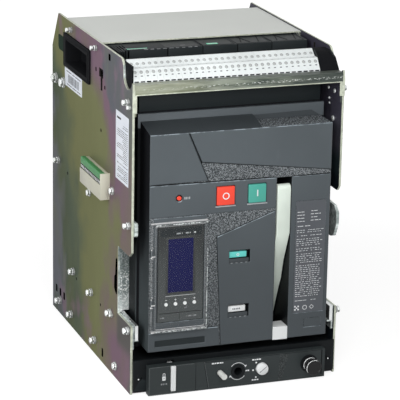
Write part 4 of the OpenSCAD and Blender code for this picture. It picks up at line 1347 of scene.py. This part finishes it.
class PlateStickers(bpy.types.Operator):
    """Paper labels on the left plate: bars and rows of plain marks"""
    bl_idname = "breaker.plate_stickers"
    bl_label = "Plate labels"

    PAPER_PROUD = 0.12

    def execute(self, context):
        spread = random.Random(5)
        self.bars(spread)
        self.notes(spread)
        return {"FINISHED"}

    def bars(self, spread):
        grey, dark = plastic("print_grey"), plastic("moulding")
        label = Piece("plate_label_bars")
        on_left_plate(label, 217, 338, 298, 363, sticker_paper(), 1.0, self.PAPER_PROUD)
        a = 232.0
        while a < 283:
            wide = spread.choice((0.7, 1.0, 1.6, 2.2))
            on_left_plate(label, a, 344.5, a + wide, 355.5, grey)
            a += wide + spread.choice((0.8, 1.1, 1.7))
        for z, spans in ((341.2, ((224, 231), (232.5, 240), (243, 262), (265, 288))),
                         (359.0, ((224, 248), (251, 262), (266, 290)))):
            for a, b in spans:
                on_left_plate(label, a, z - 0.5, b, z + 0.5, dark)
        label.done("cradle", "white_plastic")

    def notes(self, spread):
        grey, dark = plastic("print_grey"), plastic("moulding")
        label = Piece("plate_label_notes")
        on_left_plate(label, 14, 271, 67, 360, sticker_paper(), 1.0, self.PAPER_PROUD)
        z = 345.0
        while z > 275:
            a, end = 17.5 + spread.random(), 58 + spread.random() * 5
            if spread.random() < 0.18:
                end -= 24
            while a < end:
                b = min(a + 1.6 + spread.random() * 5, end)
                on_left_plate(label, a, z - 0.42, b, z + 0.42, grey if spread.random() < 0.45 else dark)
                a = b + 0.8 + spread.random() * 1.2
            z -= 2.6 if spread.random() < 0.85 else 5.0
        on_left_plate(label, 46, 350.5, 62, 353.0, dark)
        label.done("cradle", "white_plastic")


class BreakerBody(bpy.types.Operator):
    """Moulded case of the breaker, its arc chutes and its feet on the rails"""
    bl_idname = "breaker.body"
    bl_label = "Breaker case"

    def execute(self, context):
        edge = context.scene.breaker_sizes.mould_edge
        dressed("moulded_breaker_case", "breaker_case", "breaker", "black_plastic", plastic("black"), edge)
        dressed("arc_chute_tops", "arc_chutes", "breaker", "moulding", plastic("moulding"), edge)
        lo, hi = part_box("arc_chutes")
        rear, deck = high("fascia").y, high("breaker_case").z
        guard = Piece("arc_chute_guard")
        guard.block(near((lo.x, rear, deck), -15, 0.8, -1), near((hi.x, rear, hi.z), 15, 3, 0),
                    plastic("backing"), 0.6 * MM)
        guard.block(near((lo.x, rear, deck), -14.5, 0.7, -0.5), near((hi.x, rear, deck), 14.5, 1, 1.6),
                    plastic("shade"))
        guard.done("breaker", "moulding")
        dressed("rail_feet", "side_feet", "breaker", "bright_steel", foot_steel(), 0.4 * MM)
        return {"FINISHED"}


class FrontCover(bpy.types.Operator):
    """Moulded front cover: smooth panels that stand proud of a grained ground"""
    bl_idname = "breaker.front_cover"
    bl_label = "Front cover"

    # half of the panels' width, in millimetres
    HALF = 121.5

    def execute(self, context):
        # heights and slot sides in millimetres, as the outlines below
        self.top = (high("fascia").z - UPSTAND) / MM
        self.foot = low("fascia").z / MM
        self.slot = (low("handle_stop").x / MM - 0.4, high("handle_stop").x / MM + 0.3)
        self.shell()
        self.panels(context.scene.breaker_sizes.panel_proud)
        self.shelf()
        self.shut_lines()
        # lips under the off and on buttons, pale grey as a painted highlight on the pockets' lower edges
        lip_highlights = Piece("cover_button_lips")
        for node in ("off_button", "on_button"):
            lo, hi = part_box(node)
            lip_highlights.block(near((lo.x, FRONT, lo.z), -1.8, -2.3, -2.3), near((hi.x, FRONT, lo.z), 1.8, 0, -1.0),
                       plastic("lip"), 0.3 * MM)
        lip_highlights.done("breaker", "fascia_grey")
        return {"FINISHED"}

    def step_back(self):
        """The plane of the step behind the shelf."""
        return low("trip_unit").y + 39.4 * MM

    def shell(self):
        top, back = self.top * MM, self.step_back()
        side = abs(low("fascia").x) - 5 * MM

        # faces of the shell: grain on the front; painted shade on the flanks, on the step's front below the
        # shelf and, in black, on the walls of the openings; a dark finish on the faces that face back; the top
        # in a lighter painted shade
        def pick(face):
            c = face.calc_center_median()
            if abs(c.y - FRONT) < 1e-5:
                return cover_grained()
            if abs(face.normal.x) > 0.9 and abs(c.x) > side:
                return cover_flank()
            if face.normal.y > 0.5:
                return plastic("shade")
            if face.normal.y < -0.9 and abs(c.y - back) < MM:
                return None if c.z > top - MM else plastic("shade")
            if face.normal.z > 0.7 and c.z > top - MM and c.y < back + MM:
                return cover_in_painted_shade()
            return plastic("black") if c.y > FRONT + MM and c.z < top - 4 * MM else None

        shell = copied("fascia")
        bmesh.ops.bisect_plane(shell, geom=shell.verts[:] + shell.edges[:] + shell.faces[:], dist=1e-7,
                               plane_co=(0, 0, top - 0.4 * MM), plane_no=(0, 0, 1))
        cover = Piece("front_cover_shell").take(softened(shell, 0.5 * MM), cover_smooth(), pick)
        cover.done("breaker", "fascia_grey", "fascia")

    def panels(self, proud):
        x, top, foot, (left, right) = self.HALF, self.top, self.foot, self.slot
        reset = middle("reset_button")
        buttons = [around(node, 0.6 * MM) for node in ("off_button", "on_button")]
        windows = []
        for node in ("state_flag", "spring_flag"):
            lo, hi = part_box(node)
            windows.append(oblong(lo.x, lo.z - 6.5 * MM, hi.x, lo.z + 10.5 * MM, 0.5 * MM, 2))
        outlines = {
            "upper_left": ([(-x, top), (-71.6, top), (-54.9, 304.2), (-44.8, 280.3), (-x, 279.9)], ()),
            "upper_right": ([(-69.9, top), (x, top), (x, 282.7), (-52.9, 305.0)], ()),
            "button": ([(-x, 278.7), (left, 277.2), (left, 236.8), (-x, 236.8)],
                       (*buttons, ring(reset.x, reset.z, 4.2 * MM))),
            "lid_ground": ([(-115.5, 236.0), (-45.9, 236.0), (-45.9, 86.2), (-115.5, 86.2)],
                           (around("trip_unit", 1.1 * MM),)),
            "lower_left": ([(-x, 85.2), (-26.9, 85.2), (-25.0, foot), (-x, foot)],
                           (oblong(*at(-112.5, foot + 6.5, -45.5, foot + 14.5, 0.8), 3),)),
            "lower_middle": ([(-31.4, 205.6), (left, 233.8), (left, foot), (-23.5, foot)], windows),
            "right": ([(right, 276.7), (x, 276.7), (x, foot), (right, foot)],
                      (around("rating_plate", 0.25 * MM), oblong(*at(90.0, 72.0, 114.5, 84.0, 0.5), 2))),
        }
        sunk = FRONT + 0.3 * MM
        for name, (outline, holes) in outlines.items():
            panel = Piece("cover_panel_" + name)
            flush = name in ("right", "lid_ground")
            panel.plate("XZ", points(*outline), FRONT - (0.6 * MM if flush else proud), sunk, cover_smooth(),
                        0.45 * MM if flush else 0.9 * proud, holes,
                        self.worn(name in ("lower_middle", "lower_left")))
            if name == "lower_middle":
                self.flag_grips(panel, sunk)
            if name == "right":
                panel.plate("XZ", oblong(*at(90.5, 72.5, 114.0, 83.5, 0.4), 2), FRONT - 0.6 * MM, sunk,
                            cover_smooth(), 0.3 * MM)
            panel.done("breaker", "fascia_grey")

    def worn(self, plain_foot):
        """Picks upper edges for the painted highlight, but none inside the windows near the foot of a panel
        with a plain foot.
        """
        foot = self.foot * MM

        def pick(face):
            c = face.calc_center_median()
            if not (face.normal.z > 0.35 and face.normal.y < -0.2):
                return None
            inside = c.z < 0.2 and abs(c.x) < 14.9 * MM or c.z < foot + 16 * MM
            return None if plain_foot and inside else cover_edge_highlight()

        return pick

    def flag_grips(self, panel, sunk):
        """The sill under each flag, in painted shade, with its four ribs."""
        for node in ("state_flag", "spring_flag"):
            lo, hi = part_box(node)
            panel.block((lo.x + 0.1 * MM, FRONT - 0.35 * MM, lo.z - 6.6 * MM),
                        (hi.x - 1.6 * MM, sunk, lo.z - 0.3 * MM), cover_in_painted_shade(), 0.3 * MM)
            rib = Vector((lo.x, FRONT, lo.z))
            for n in range(4):
                x = 2 + n * 6.6
                panel.block(near(rib, x, -0.6, -6.5), near(rib, x + 2.6, 0, -6.0), plastic("lip"))

    def shelf(self):
        """The grained shelf on the cover's top, and painted shade on the right part of the step behind it."""
        x, top, front, back = self.HALF, self.top, FRONT / MM, self.step_back()
        patch = Piece("cover_shelf_grain")
        corners = points((26.5, front + 2.4), (x - 1.5, front + 2.4), (x - 1.5, front + 37.5),
                         (29.5, front + 37.5))
        patch.plate("XY", rounded(corners, 0.6 * MM), (top + 0.3) * MM, (top - 0.2) * MM, shelf_grained(),
                    0.15 * MM)
        patch.plate("XZ", points((20, top - 0.5), (30, top + 6.5), (108, top + 8), (x, top - 0.5)),
                    back - 0.3 * MM, back + 0.2 * MM, cover_in_painted_shade(), 0.1 * MM)
        patch.done("breaker", "fascia_grey")

    def shut_lines(self):
        top, foot, (left, right), edge = self.top, self.foot, self.slot, self.HALF - 0.3
        front, sunk, black = FRONT - 0.12 * MM, FRONT + 0.2 * MM, plastic("black")
        lines = Piece("cover_shut_lines")
        for outline in (((-72.4, top - 1), (-69.1, top - 1), (-52.0, 305.0), (-55.3, 303.6)),
                        ((-54.2, 305.6), (edge, 283.5), (edge, 282.2), (-54.6, 304.2)),
                        ((-edge, 278.4), (left, 276.9), (left, 278.5), (-edge, 280.2)),
                        ((right, 276.4), (edge, 276.4), (edge, 277.9), (right, 277.9)),
                        ((-55.4, 304.4), (-54.0, 304.4), (-43.6, 280.2), (-45.0, 280.2)),
                        ((-edge, 84.9), (-27.2, 84.9), (-27.2, 86.1), (-edge, 86.1)),
                        ((-32.4, 205.4), (-31.2, 205.4), (-23.0, foot + 1), (-24.2, foot + 1)),
                        ((-32.4, 205.0), (-32.4, 206.2), (left, 234.6), (left, 233.4))):
            lines.plate("XZ", points(*outline), front, sunk, black)
        lines.plate("XZ", around("trip_unit", 1.2 * MM), front, sunk, black,
                    holes=(around("trip_unit", 0.05 * MM),))
        lines.plate("XZ", oblong(*at(-113.0, foot + 6.0, -45.0, foot + 15.0)), FRONT - 0.14 * MM, sunk,
                    plastic("grille"))
        lines.done("breaker", "black_plastic")


class TripUnit(bpy.types.Operator):
    """Electronic trip unit: bezel, display, keys and the clear lid over it"""
    bl_idname = "breaker.trip_unit"
    bl_label = "Trip unit"

    KEYS = (1, 2, 3, 4)

    def execute(self, context):
        lo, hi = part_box("trip_unit")
        front = Piece("trip_unit_body").node("trip_unit", 0.6 * MM, trip_bezel())
        front.plate("XZ", around("trip_display", 3.0 * MM, 2.6 * MM, 0.8 * MM), lo.y - 0.25 * MM,
                    lo.y + 0.2 * MM, plastic("trip_dark"), 0.15 * MM, (around("trip_display", 0.0),))
        front.block(near((lo.x, lo.y, hi.z), 2.5, -0.08, -13.5), near((hi.x, lo.y, hi.z), -2.5, 0.1, -3),
                    plastic("moulding"))
        front.done("breaker", "moulding", "trip_unit")
        self.marks(lo, hi)
        dressed("trip_unit_screen", "trip_display", "breaker", "display", display_glass(), 0.2 * MM)
        for n in self.KEYS:
            dressed(f"trip_unit_key_{n}", f"key_{n}", f"key_{n}", "white_plastic", plastic("key"), 0.5 * MM)
        self.lid()
        return {"FINISHED"}

    def marks(self, lo, hi):
        """Plain marks: the row at the top, a plus or a minus over each key, and lines round the display."""
        face, (left, right) = lo.y, (lo.x / MM, hi.x / MM)
        white, grey, black = plastic("print_white"), plastic("print_grey_pale"), plastic("black")
        screen = [corner.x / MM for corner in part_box("trip_display")]
        marks = Piece("trip_unit_marks")

        def bar(x0, z0, x1, z1, finish=white, up=0.12):
            marks.bar(*at(x0, x1, z0, z1), finish, face - up * MM, face)

        z = hi.z / MM - 10.2
        for a, b in ((-85.5, -80.2), (-78.6, -77.6), (-73.5, -69.6), (-68.4, -66.9), (-62.9, -59.8)):
            bar(a, z - 0.9, b, z + 0.9, plastic("lip"))
        for k in self.KEYS:
            x, z = middle(f"key_{k}").x / MM, middle(f"key_{k}").z / MM + 5.6
            bar(x - 1.3, z - 0.3, x + 1.3, z + 0.3)
            if k % 2 == 0:
                bar(x - 0.3, z - 1.3, x + 0.3, z + 1.3)
        bar(left + 1.5, 109.6, right - 1.5, 110.5, black, 0.08)
        bar(-74.0, 115.0, -71.0, 115.6, grey)
        bar(-71.6, 115.0, -71.0, 118.2, grey)
        for a, b in ((-105.5, -104.7), (-103.6, -100.8), (-70.5, -69.9), (-68.2, -65.0), (-63.8, -63.0),
                     (-61.4, -57.6)):
            bar(a, 103.4, b, 105.0, grey)
        bar(-80.6, 100.6, -80.1, 108.6, black)
        bar(screen[0] - 3, 132.6, screen[1] + 3, 133.0)
        bar(screen[0] - 3, 115.0, screen[0] - 2.6, 133.0, plastic("trip_pale"))
        marks.take(rod("Y", (hi.x - 11.5 * MM, hi.z - 10 * MM), 0.9 * MM, face - 0.4 * MM, face, 0.2 * MM, 16),
                   plastic("white"))
        marks.done("breaker", "moulding")

    def lid(self):
        lo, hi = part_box("trip_lid")
        pane, rim, glint = clear("clear_pane"), clear("clear_rim"), clear("clear_edge")

        # painted highlight: the lid's upward faces, and the rounded front edges at its hinge side, are opaque
        # white
        def lit(face):
            return glint if face.normal.z > 0.5 else None

        def pick(face):
            n = face.normal
            if abs(n.y) > 0.95 and face.calc_area() > 1e-4:
                return pane
            left = n.x < -0.2 and -0.95 < n.y < -0.1 and face.calc_center_median().x < lo.x + 4 * MM
            return glint if left else lit(face)

        lid = Piece("clear_trip_lid").node("trip_lid", 0.4 * MM, rim, pick=pick)
        # a raised rib inside the lid's edge, bright strips of painted highlight along the lid's edges, and
        # three painted glints at its hinge side
        outer = oblong(lo.x + 5.5 * MM, lo.z + 4 * MM, hi.x - 3 * MM, hi.z - 4 * MM, 1.0 * MM)
        inner = oblong(lo.x + 6.3 * MM, lo.z + 4.8 * MM, hi.x - 3.8 * MM, hi.z - 4.8 * MM, 0.8 * MM)
        lid.plate("XZ", outer, lo.y + 1.4 * MM, lo.y + 3.2 * MM, rim, holes=(inner,), pick=lit)
        for x0, z0, x1, z1 in ((6.0, 1.0, 74.6, 2.6), (73.6, 3.0, 74.6, 62.0), (73.9, 62.0, 74.6, 108.0),
                               (5.0, 142.0, 74.6, 143.4)):
            lid.block(near(lo, x0, 0, z0), near(lo, x1, 0.5, z1), clear_lid_highlight_patches())
        for z in (lo.z + 1.6 * MM, lo.z + 38 * MM, hi.z - 42 * MM):
            lid.block(near((lo.x, lo.y, z), 0.4, 0.4, -0.5), near((lo.x, lo.y, z), 5.0, 1.4, 0.5), glint)
        lid.done("trip_lid", "clear", "trip_lid")


class PushButtons(bpy.types.Operator):
    """Off, on and reset buttons and the two indicator flags"""
    bl_idname = "breaker.push_buttons"
    bl_label = "Buttons and flags"

    def execute(self, context):
        white = plastic("print_white")
        for name, colour in (("off", "red"), ("on", "green")):
            node = name + "_button"
            centre, front = middle(node), low(node).y - 0.1 * MM
            button = Piece(name + "_push_button").node(node, 1.0 * MM, plastic(colour), 3)
            if name == "off":
                button.plate("XZ", ring(centre.x, centre.z, 4.6 * MM), front, front + 0.2 * MM, white,
                             holes=(ring(centre.x, centre.z, 3.3 * MM),))
            else:
                button.bar(centre.x - 0.75 * MM, centre.x + 0.75 * MM, centre.z - 3.6 * MM,
                           centre.z + 4.8 * MM, white, front, front + 0.2 * MM)
            button.done(node, colour, node)
        self.reset()
        self.flags()
        return {"FINISHED"}

    def reset(self):
        centre, r, length, front = round_node("reset_button")
        profile = ((0, 0), (r * 0.66, 0), (r * 0.76, 0.6 * MM), (r * 0.78, 2.2 * MM), (r, 2.3 * MM),
                   (r, length), (0, length))
        # the button's faces more than 1.5 mm behind its front are black: painted shade in the gap round it
        reset = Piece("fault_reset_button").take(
            turned(centre, profile, front, 32), plastic("red"),
            lambda face: plastic("black") if face.calc_center_median().y > front + 1.5 * MM else None)
        reset.done("reset_button", "red", "reset_button")
        legend = Piece("reset_legend")
        for a, b in ((-76.2, -74.6), (-73.9, -72.4), (-71.6, -70.9), (-70.1, -68.6)):
            legend.bar(*at(a, b, 258.7, 261.8), plastic("lip"), FRONT - 1.1 * MM, FRONT - 0.8 * MM)
        legend.done("breaker", "white_plastic")

    def flags(self):
        front, face = FRONT + 1.2 * MM, FRONT + 1.12 * MM
        for node, finish, name, slot in (("state_flag", "teal", "contact_state_flag", "teal"),
                                         ("spring_flag", "white", "spring_state_flag", "white_plastic")):
            lo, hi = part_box(node)
            flag = Piece(name)
            flag.block((lo.x + 0.3 * MM, front, lo.z + 0.6 * MM), (hi.x - 4.3 * MM, hi.y, hi.z - 0.5 * MM),
                       plastic(finish), 0.3 * MM)
            # a black block at the flag's right end: painted shade in the gap beside it
            flag.block((hi.x - 4.2 * MM, lo.y, lo.z), (hi.x - 0.1 * MM, hi.y, hi.z), plastic("black"))
            x, z = (lo.x + hi.x) / 2 - 2 * MM, (lo.z + hi.z) / 2
            if node == "state_flag":
                flag.plate("XZ", ring(x, z, 1.9 * MM, 20), face, front + 0.05 * MM, plastic("print_white"),
                           holes=(ring(x, z, 1.1 * MM, 20),))
            else:
                for n in range(5):
                    a = x + (n * 2.2 - 5.6) * MM
                    flag.bar(a, a + 1.4 * MM, z - 1.1 * MM, z + 1.1 * MM, plastic("print_grey"), face,
                             front + 0.05 * MM)
            flag.done("breaker", slot, node)


class RatingPlate(bpy.types.Operator):
    """Plain rating plate with rows of small marks"""
    bl_idname = "breaker.rating_plate"
    bl_label = "Rating plate"

    def execute(self, context):
        dressed("printed_rating_plate", "rating_plate", "breaker", "plate_grey", plastic("plate_grey"),
                0.15 * MM, 1)
        lo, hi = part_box("rating_plate")
        pale = plastic("print_white")
        front, sunk = lo.y - 0.06 * MM, lo.y + 0.02 * MM
        spread = random.Random(11)
        marks = Piece("rating_plate_marks")

        def row(z, tall, spans):
            """Marks in a row: z in metres, and the spans in millimetres from the plate's left edge."""
            for a, b in spans:
                marks.bar(lo.x + a * MM, lo.x + b * MM, z - tall / 2 * MM, z + tall / 2 * MM, pale, front,
                          sunk)

        for n, down in enumerate((14.5, 18.6, 22.8, 27.0)):
            z = hi.z - down * MM
            row(z, 0.8, ((2, 4.6), (5.2, 8.4), (9.2, 12.2)) if n % 2 else ((2, 6.4), (7.2, 11.4)))
            row(z + 0.6 * MM, 0.8,
                ((20.5, 24.6), (26, 31), (32, 34.2)) if n % 2 else ((21, 23.8), (24.8, 29.5)))
        row(hi.z - 33.5 * MM, 0.9, ((3, 5.4), (6.2, 10.4), (13, 16.4), (17.2, 20)))
        z = hi.z - 39 * MM
        while z > lo.z + 21 * MM:
            spans, a = [], 1.6 + spread.random() * 0.8
            end = 33 + spread.random() * 5
            while a < end:
                b = a + 1.0 + spread.random() * 2.6
                spans.append((a, b))
                a = b + 0.7 + spread.random() * 1.3
                if spread.random() < 0.12:
                    a += 3
            row(z, 0.62, spans)
            z -= (2.75 if spread.random() < 0.8 else 4.6) * MM
        row(lo.z + 16.5 * MM, 0.6, ((2, 6), (6.8, 12.4), (13, 18), (24, 26.6), (28, 31)))
        # three plain signs at the foot: a chequer, a ring and a lozenge
        for i in range(3):
            for j in range(3):
                if (i + j) % 2 == 0:
                    row(lo.z + (4.4 + j * 2.2) * MM, 1.9, ((1.6 + i * 2.2, 3.6 + i * 2.2),))
        for x, z, radius, sides in ((16, 6.6, 3.1, 24), (25.5, 6.8, 3.2, 4)):
            outer, inner = (ring(lo.x + x * MM, lo.z + z * MM, r * MM, sides) for r in (radius, 2.4))
            marks.plate("XZ", outer, front, sunk, pale, holes=(inner,))
        marks.done("breaker", "white_plastic")
        return {"FINISHED"}


class ChargingHandle(bpy.types.Operator):
    """Spring charging handle with its pin and stop"""
    bl_idname = "breaker.charging_handle"
    bl_label = "Charging handle"

    def execute(self, context):
        dressed("handle_lever", "charging_handle", "charging_handle", "handle_white", plastic("handle"),
                1.2 * MM, 3)
        dressed("handle_pivot_pin", "handle_pin", "breaker", "bright_steel", metal("bright_zinc"), 0.3 * MM)
        dressed("handle_foot_stop", "handle_stop", "breaker", "handle_white", plastic("white"), 0.5 * MM)
        return {"FINISHED"}


# ---------------------------------------------------------------- stage

class Stage(bpy.types.Operator):
    """Pale floor, soft lights and the camera"""
    bl_idname = "breaker.stage"
    bl_label = "Floor, lights and camera"

    # name, setting with its power, side and place of each square lamp, all aimed at one point
    LAMPS = (("key_light", "key_power", 1.2, (-1.6, -0.75, 0.95)),
             ("front_light", "front_power", 0.4, (-0.20, -0.88, 0.58)),
             ("fill_light", "fill_power", 1.6, (2.2, -1.2, 1.3)),
             ("top_light", "top_power", 1.8, (0.1, 0.3, 2.6)))
    AIM = Vector((0.0, 0.0, 0.22))
    # the camera's place, and its turn about Z, its tilt from looking down, and its roll, in degrees
    EYE = (-0.92946, -2.61454, 1.02656)
    TURN, TILT, ROLL = -19.843, 73.345, 1.049
    SENSOR = 36.0

    def execute(self, context):
        scene, stage = context.scene, context.scene.breaker_stage
        self.floor(scene, stage.floor_half)
        scene.world = self.surround(stage.sky)
        for name, power, size, spot in self.LAMPS:
            lamp = bpy.data.lights.new(name, "AREA")
            lamp.energy, lamp.size = getattr(stage, power), size
            obj = bpy.data.objects.new(name, lamp)
            obj.location = spot
            obj.rotation_euler = (self.AIM - Vector(spot)).to_track_quat("-Z", "Y").to_euler()
            obj.visible_camera = False
            scene.collection.objects.link(obj)

        camera = bpy.data.cameras.new("camera")
        camera.lens, camera.sensor_width = stage.lens, self.SENSOR
        camera.clip_start, camera.clip_end = 0.1, 60.0
        eye = bpy.data.objects.new("camera", camera)
        eye.location = self.EYE
        turn, tilt, roll = (Matrix.Rotation(math.radians(angle), 3, axis)
                            for angle, axis in ((self.TURN, "Z"), (self.TILT, "X"), (self.ROLL, "Z")))
        eye.rotation_euler = (turn @ tilt @ roll).to_euler()
        scene.collection.objects.link(eye)
        scene.camera = eye
        scene.view_settings.view_transform = "Standard"
        return {"FINISHED"}

    def floor(self, scene, half):
        bm = bmesh.new()
        bmesh.ops.create_grid(bm, x_segments=2, y_segments=2, size=half)
        mesh = bpy.data.meshes.new("studio_floor")
        bm.to_mesh(mesh)
        bm.free()
        mesh.materials.append(studio_floor())
        floor = bpy.data.objects.new("studio_floor", mesh)
        scene.collection.objects.link(floor)

    def surround(self, sky):
        """A white surround to the eye, in reflections and through clear parts, and a dim one as a light."""
        world = bpy.data.worlds.new("studio")
        world.use_nodes = True
        tree = world.node_tree
        back = tree.nodes["Background"]
        path = tree.nodes.new("ShaderNodeLightPath").outputs
        seen, through = tree.nodes.new("ShaderNodeMath"), tree.nodes.new("ShaderNodeMath")
        seen.operation = through.operation = "MAXIMUM"
        power = tree.nodes.new("ShaderNodeMapRange")
        for source, socket in ((path["Is Camera Ray"], seen.inputs[0]),
                               (path["Is Glossy Ray"], through.inputs[0]),
                               (path["Is Transmission Ray"], through.inputs[1]),
                               (through.outputs[0], seen.inputs[1]), (seen.outputs[0], power.inputs[0]),
                               (power.outputs[0], back.inputs["Strength"])):
            tree.links.new(source, socket)
        power.inputs["To Min"].default_value = sky
        power.inputs["To Max"].default_value = 1.0
        back.inputs["Color"].default_value = (*WHITE, 1.0)
        return world


MAKERS = (SidePlates, CradleFrame, RearConnections, TopSheet, Crossbar, TerminalRow, ControlBed,
          RackingDrive, PlateFittings, PlateStickers, BreakerBody, FrontCover, TripUnit, PushButtons,
          RatingPlate, ChargingHandle, Stage)


class BreakerPanel(bpy.types.Panel):
    """Sizes and colours of the breaker, and a button for each group of pieces"""
    bl_idname = "VIEW3D_PT_breaker"
    bl_label = "Draw-out breaker"
    bl_space_type = "VIEW_3D"
    bl_region_type = "UI"
    bl_category = "Breaker"

    def draw(self, context):
        for group in (context.scene.breaker_sizes, context.scene.breaker_colours, context.scene.breaker_stage):
            box = self.layout.box()
            for name in group.bl_rna.properties.keys():
                if name not in {"rna_type", "name"}:
                    box.prop(group, name)
        column = self.layout.column(align=True)
        for maker in MAKERS:
            column.operator(maker.bl_idname)


CLASSES = (BreakerSizes, BreakerColours, StageSettings, *MAKERS, BreakerPanel)


def register():
    for cls in CLASSES:
        bpy.utils.register_class(cls)
    bpy.types.Scene.breaker_sizes = PointerProperty(type=BreakerSizes)
    bpy.types.Scene.breaker_colours = PointerProperty(type=BreakerColours)
    bpy.types.Scene.breaker_stage = PointerProperty(type=StageSettings)


def unregister():
    for name in ("breaker_sizes", "breaker_colours", "breaker_stage"):
        delattr(bpy.types.Scene, name)
    for cls in reversed(CLASSES):
        bpy.utils.unregister_class(cls)


def main():
    register()
    for maker in MAKERS:
        group, action = maker.bl_idname.split(".")
        getattr(getattr(bpy.ops, group), action)()


if __name__ == "__main__":
    main()
